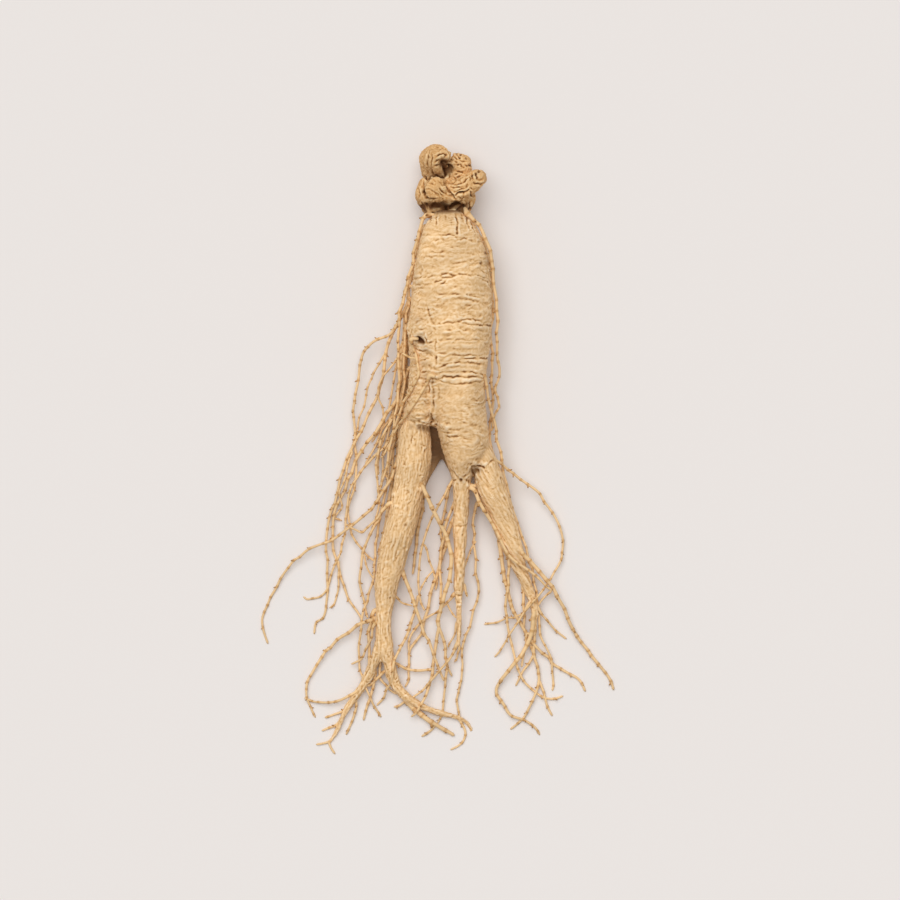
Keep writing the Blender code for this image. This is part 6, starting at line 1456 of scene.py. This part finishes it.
def skin_material(name, ramp, roughness, grain_mm, blotch_mm, attribute, bump_mm):
    """Colour: a ramp read at the kept relief plus a little noise, which paints shade in the hollows and
    highlight on the ridges, made darker and lighter in blotches, then mixed towards a dark brown by the
    kept soil and painted shade."""
    skin, surface = plain_material(name, roughness, SKIN_GLOSS)
    tree = skin.node_tree
    place = add_node(tree, "ShaderNodeTexCoord").outputs["Object"]
    grain = add_node(tree, "ShaderNodeTexNoise", [(place, 0)],
                     in_2=1 / (grain_mm * MM), in_3=5.0, in_4=0.6)
    blotch = add_node(tree, "ShaderNodeTexNoise", [(place, 0)], in_2=1 / (blotch_mm * MM), in_3=3.0)
    relief = add_node(tree, "ShaderNodeAttribute", attribute_name=attribute)
    low_grain = add_node(tree, "ShaderNodeMath", [(grain.outputs[0], 0)],
                         operation="MULTIPLY_ADD", in_1=GRAIN_SHARE, in_2=-GRAIN_SHARE / 2)
    shade = add_node(tree, "ShaderNodeMath", [(relief.outputs["Fac"], 0), (low_grain.outputs[0], 1)],
                     operation="ADD")
    spread = add_node(tree, "ShaderNodeMapRange", [(shade.outputs[0], 0)], in_1=-1.0, in_2=1.0)
    colours = add_node(tree, "ShaderNodeValToRGB", [(spread.outputs[0], 0)])
    colours.color_ramp.elements.remove(colours.color_ramp.elements[1])
    stops = colours.color_ramp.elements
    for number, (position, colour) in enumerate(ramp):
        stop = stops[0] if number == 0 else stops.new(position)
        stop.position = position
        stop.color = linear(colour)
    blotches = add_node(tree, "ShaderNodeMapRange", [(blotch.outputs[0], 0)],
                        in_1=0.3, in_2=0.7, in_3=BLOTCH_RANGE[0], in_4=BLOTCH_RANGE[1])
    mixed = add_node(tree, "ShaderNodeVectorMath", [(colours.outputs[0], 0), (blotches.outputs[0], 1)],
                     operation="MULTIPLY")
    # The kept soil and painted shade mix the colour towards a dark brown.
    soil_and_shade = add_node(tree, "ShaderNodeAttribute", attribute_name="soil_and_shade")
    soil_and_shade_mixed = add_node(tree, "ShaderNodeMix", [(soil_and_shade.outputs["Fac"], 0), (mixed.outputs[0], 6)],
                       data_type="RGBA", in_7=linear(SOIL_AND_SHADE_BROWN))
    tree.links.new(soil_and_shade_mixed.outputs[2], surface.inputs["Base Color"])
    bump = add_node(tree, "ShaderNodeBump", [(grain.outputs[0], "Height")])
    bump.inputs["Strength"].default_value = BUMP_STRENGTH
    bump.inputs["Distance"].default_value = bump_mm * MM
    tree.links.new(bump.outputs[0], surface.inputs["Normal"])
    return skin


# The trunk and legs: thin cork, rubbed pale on its ridges. Its ramp also paints shade into the folds and
# highlight on to the ridges.
body_skin = skin_material(
    "dried_root_skin",
    [(0.0, "#6A4019"), (0.2, "#A6723D"), (0.4, "#DEB37B"), (0.58, "#F3CFA0"), (0.82, "#FCE3BF")],
    roughness=0.72, grain_mm=1.3, blotch_mm=9.0, attribute="relief", bump_mm=0.3)
# The rhizome: thicker and browner cork, old and rough. Its ramp paints shade into the deep folds and
# highlight on to the ridges.
rhizome_skin = skin_material(
    "dried_rhizome_cork",
    [(0.0, SOIL_AND_SHADE_BROWN), (0.22, "#9A6632"), (0.42, "#CF9C60"), (0.6, "#E4B982"), (0.85, "#F2D3A2")],
    roughness=0.8, grain_mm=1.0, blotch_mm=6.0, attribute="relief", bump_mm=0.25)
# The rootlets: very thin skin, browner at the beads and darkest at the broken ends of the stubs.
rootlet_skin = skin_material(
    "dried_rootlet_skin",
    [(0.35, "#E0B57D"), (0.5, "#EFCB98"), (0.72, "#CFA066"), (1.0, "#8F5E30")],
    roughness=0.7, grain_mm=1.2, blotch_mm=12.0, attribute="mark", bump_mm=0.12)
skins = [(body, body_skin), (left_leg, body_skin), (rhizome, rhizome_skin)]
skins += [(piece, rootlet_skin) for piece in rootlet_pieces]
for piece, skin in skins:
    piece.data.materials.clear()
    piece.data.materials.append(skin)
print("materials:", [material.name for material in bpy.data.materials])

# %% [markdown]
# ## Table, light and camera
#
# The photograph is a flat lay: the camera looks straight down, and one big soft light stands beyond the
# head. An area lamp could be that light, but it would be brighter at the head than at the toes. A sun
# lamp with a wide angle lights all of the root alike and still casts soft shadows, and the world fills
# them. The table is a plain pale plane.

# %% Stage
PHOTO_WIDTH = 288.0
PHOTO_CENTRE_X = 3.84
LENS = 200.0
SENSOR = 36.0
MIDDLE_HEIGHT = 10.0

TABLE_SIZE = 12000.0
half = TABLE_SIZE / 2 * MM
table_mesh = bpy.data.meshes.new("table")
corners = [(-half, -half, 0), (half, -half, 0), (half, half, 0), (-half, half, 0)]
table_mesh.from_pydata(corners, [], [(0, 1, 2, 3)])
table = new_object("table", table_mesh)

# The table is matt paper, nearly white.
paper, paper_surface = plain_material("pale_matt_paper", roughness=0.9, gloss=0.2)
paper_surface.inputs["Base Color"].default_value = linear("#E8E3E0")
table_mesh.materials.append(paper)


def sun_light(name, towards, spread, strength):
    """Light from far away: from the direction `towards`, as wide as `spread` degrees, so that shadows are
    soft."""
    lamp = bpy.data.lights.new(name, "SUN")
    lamp.angle = math.radians(spread)
    lamp.energy = strength
    holder = new_object(name, lamp)
    holder.rotation_euler = Vector(towards).to_track_quat("Z", "Y").to_euler()


sun_light("softbox", towards=(-0.15, 0.4, 1.0), spread=60, strength=2.05)
world = bpy.data.worlds.new("studio")
bpy.context.scene.world = world
world.use_nodes = True
world.node_tree.nodes["Background"].inputs["Color"].default_value = linear("#FFFDFB")
world.node_tree.nodes["Background"].inputs["Strength"].default_value = 0.42

camera = bpy.data.cameras.new("camera")
camera.lens = LENS
camera.sensor_width = SENSOR
view = new_object("camera", camera)
view.location = (PHOTO_CENTRE_X * MM, 0, (MIDDLE_HEIGHT + PHOTO_WIDTH * LENS / SENSOR) * MM)
bpy.context.scene.camera = view
bpy.context.scene.view_settings.view_transform = "Standard"
print("camera", round(view.location.z / MM), "mm above the table")

# %% [markdown]
# ## One body for every piece
#
# The whole root is one grown thing, so every piece rides on the same body and stands for the one solid.

# %% Attach
for piece in [body, left_leg, rhizome] + rootlet_pieces:
    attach(piece, "root")
    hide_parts("ginseng_root")
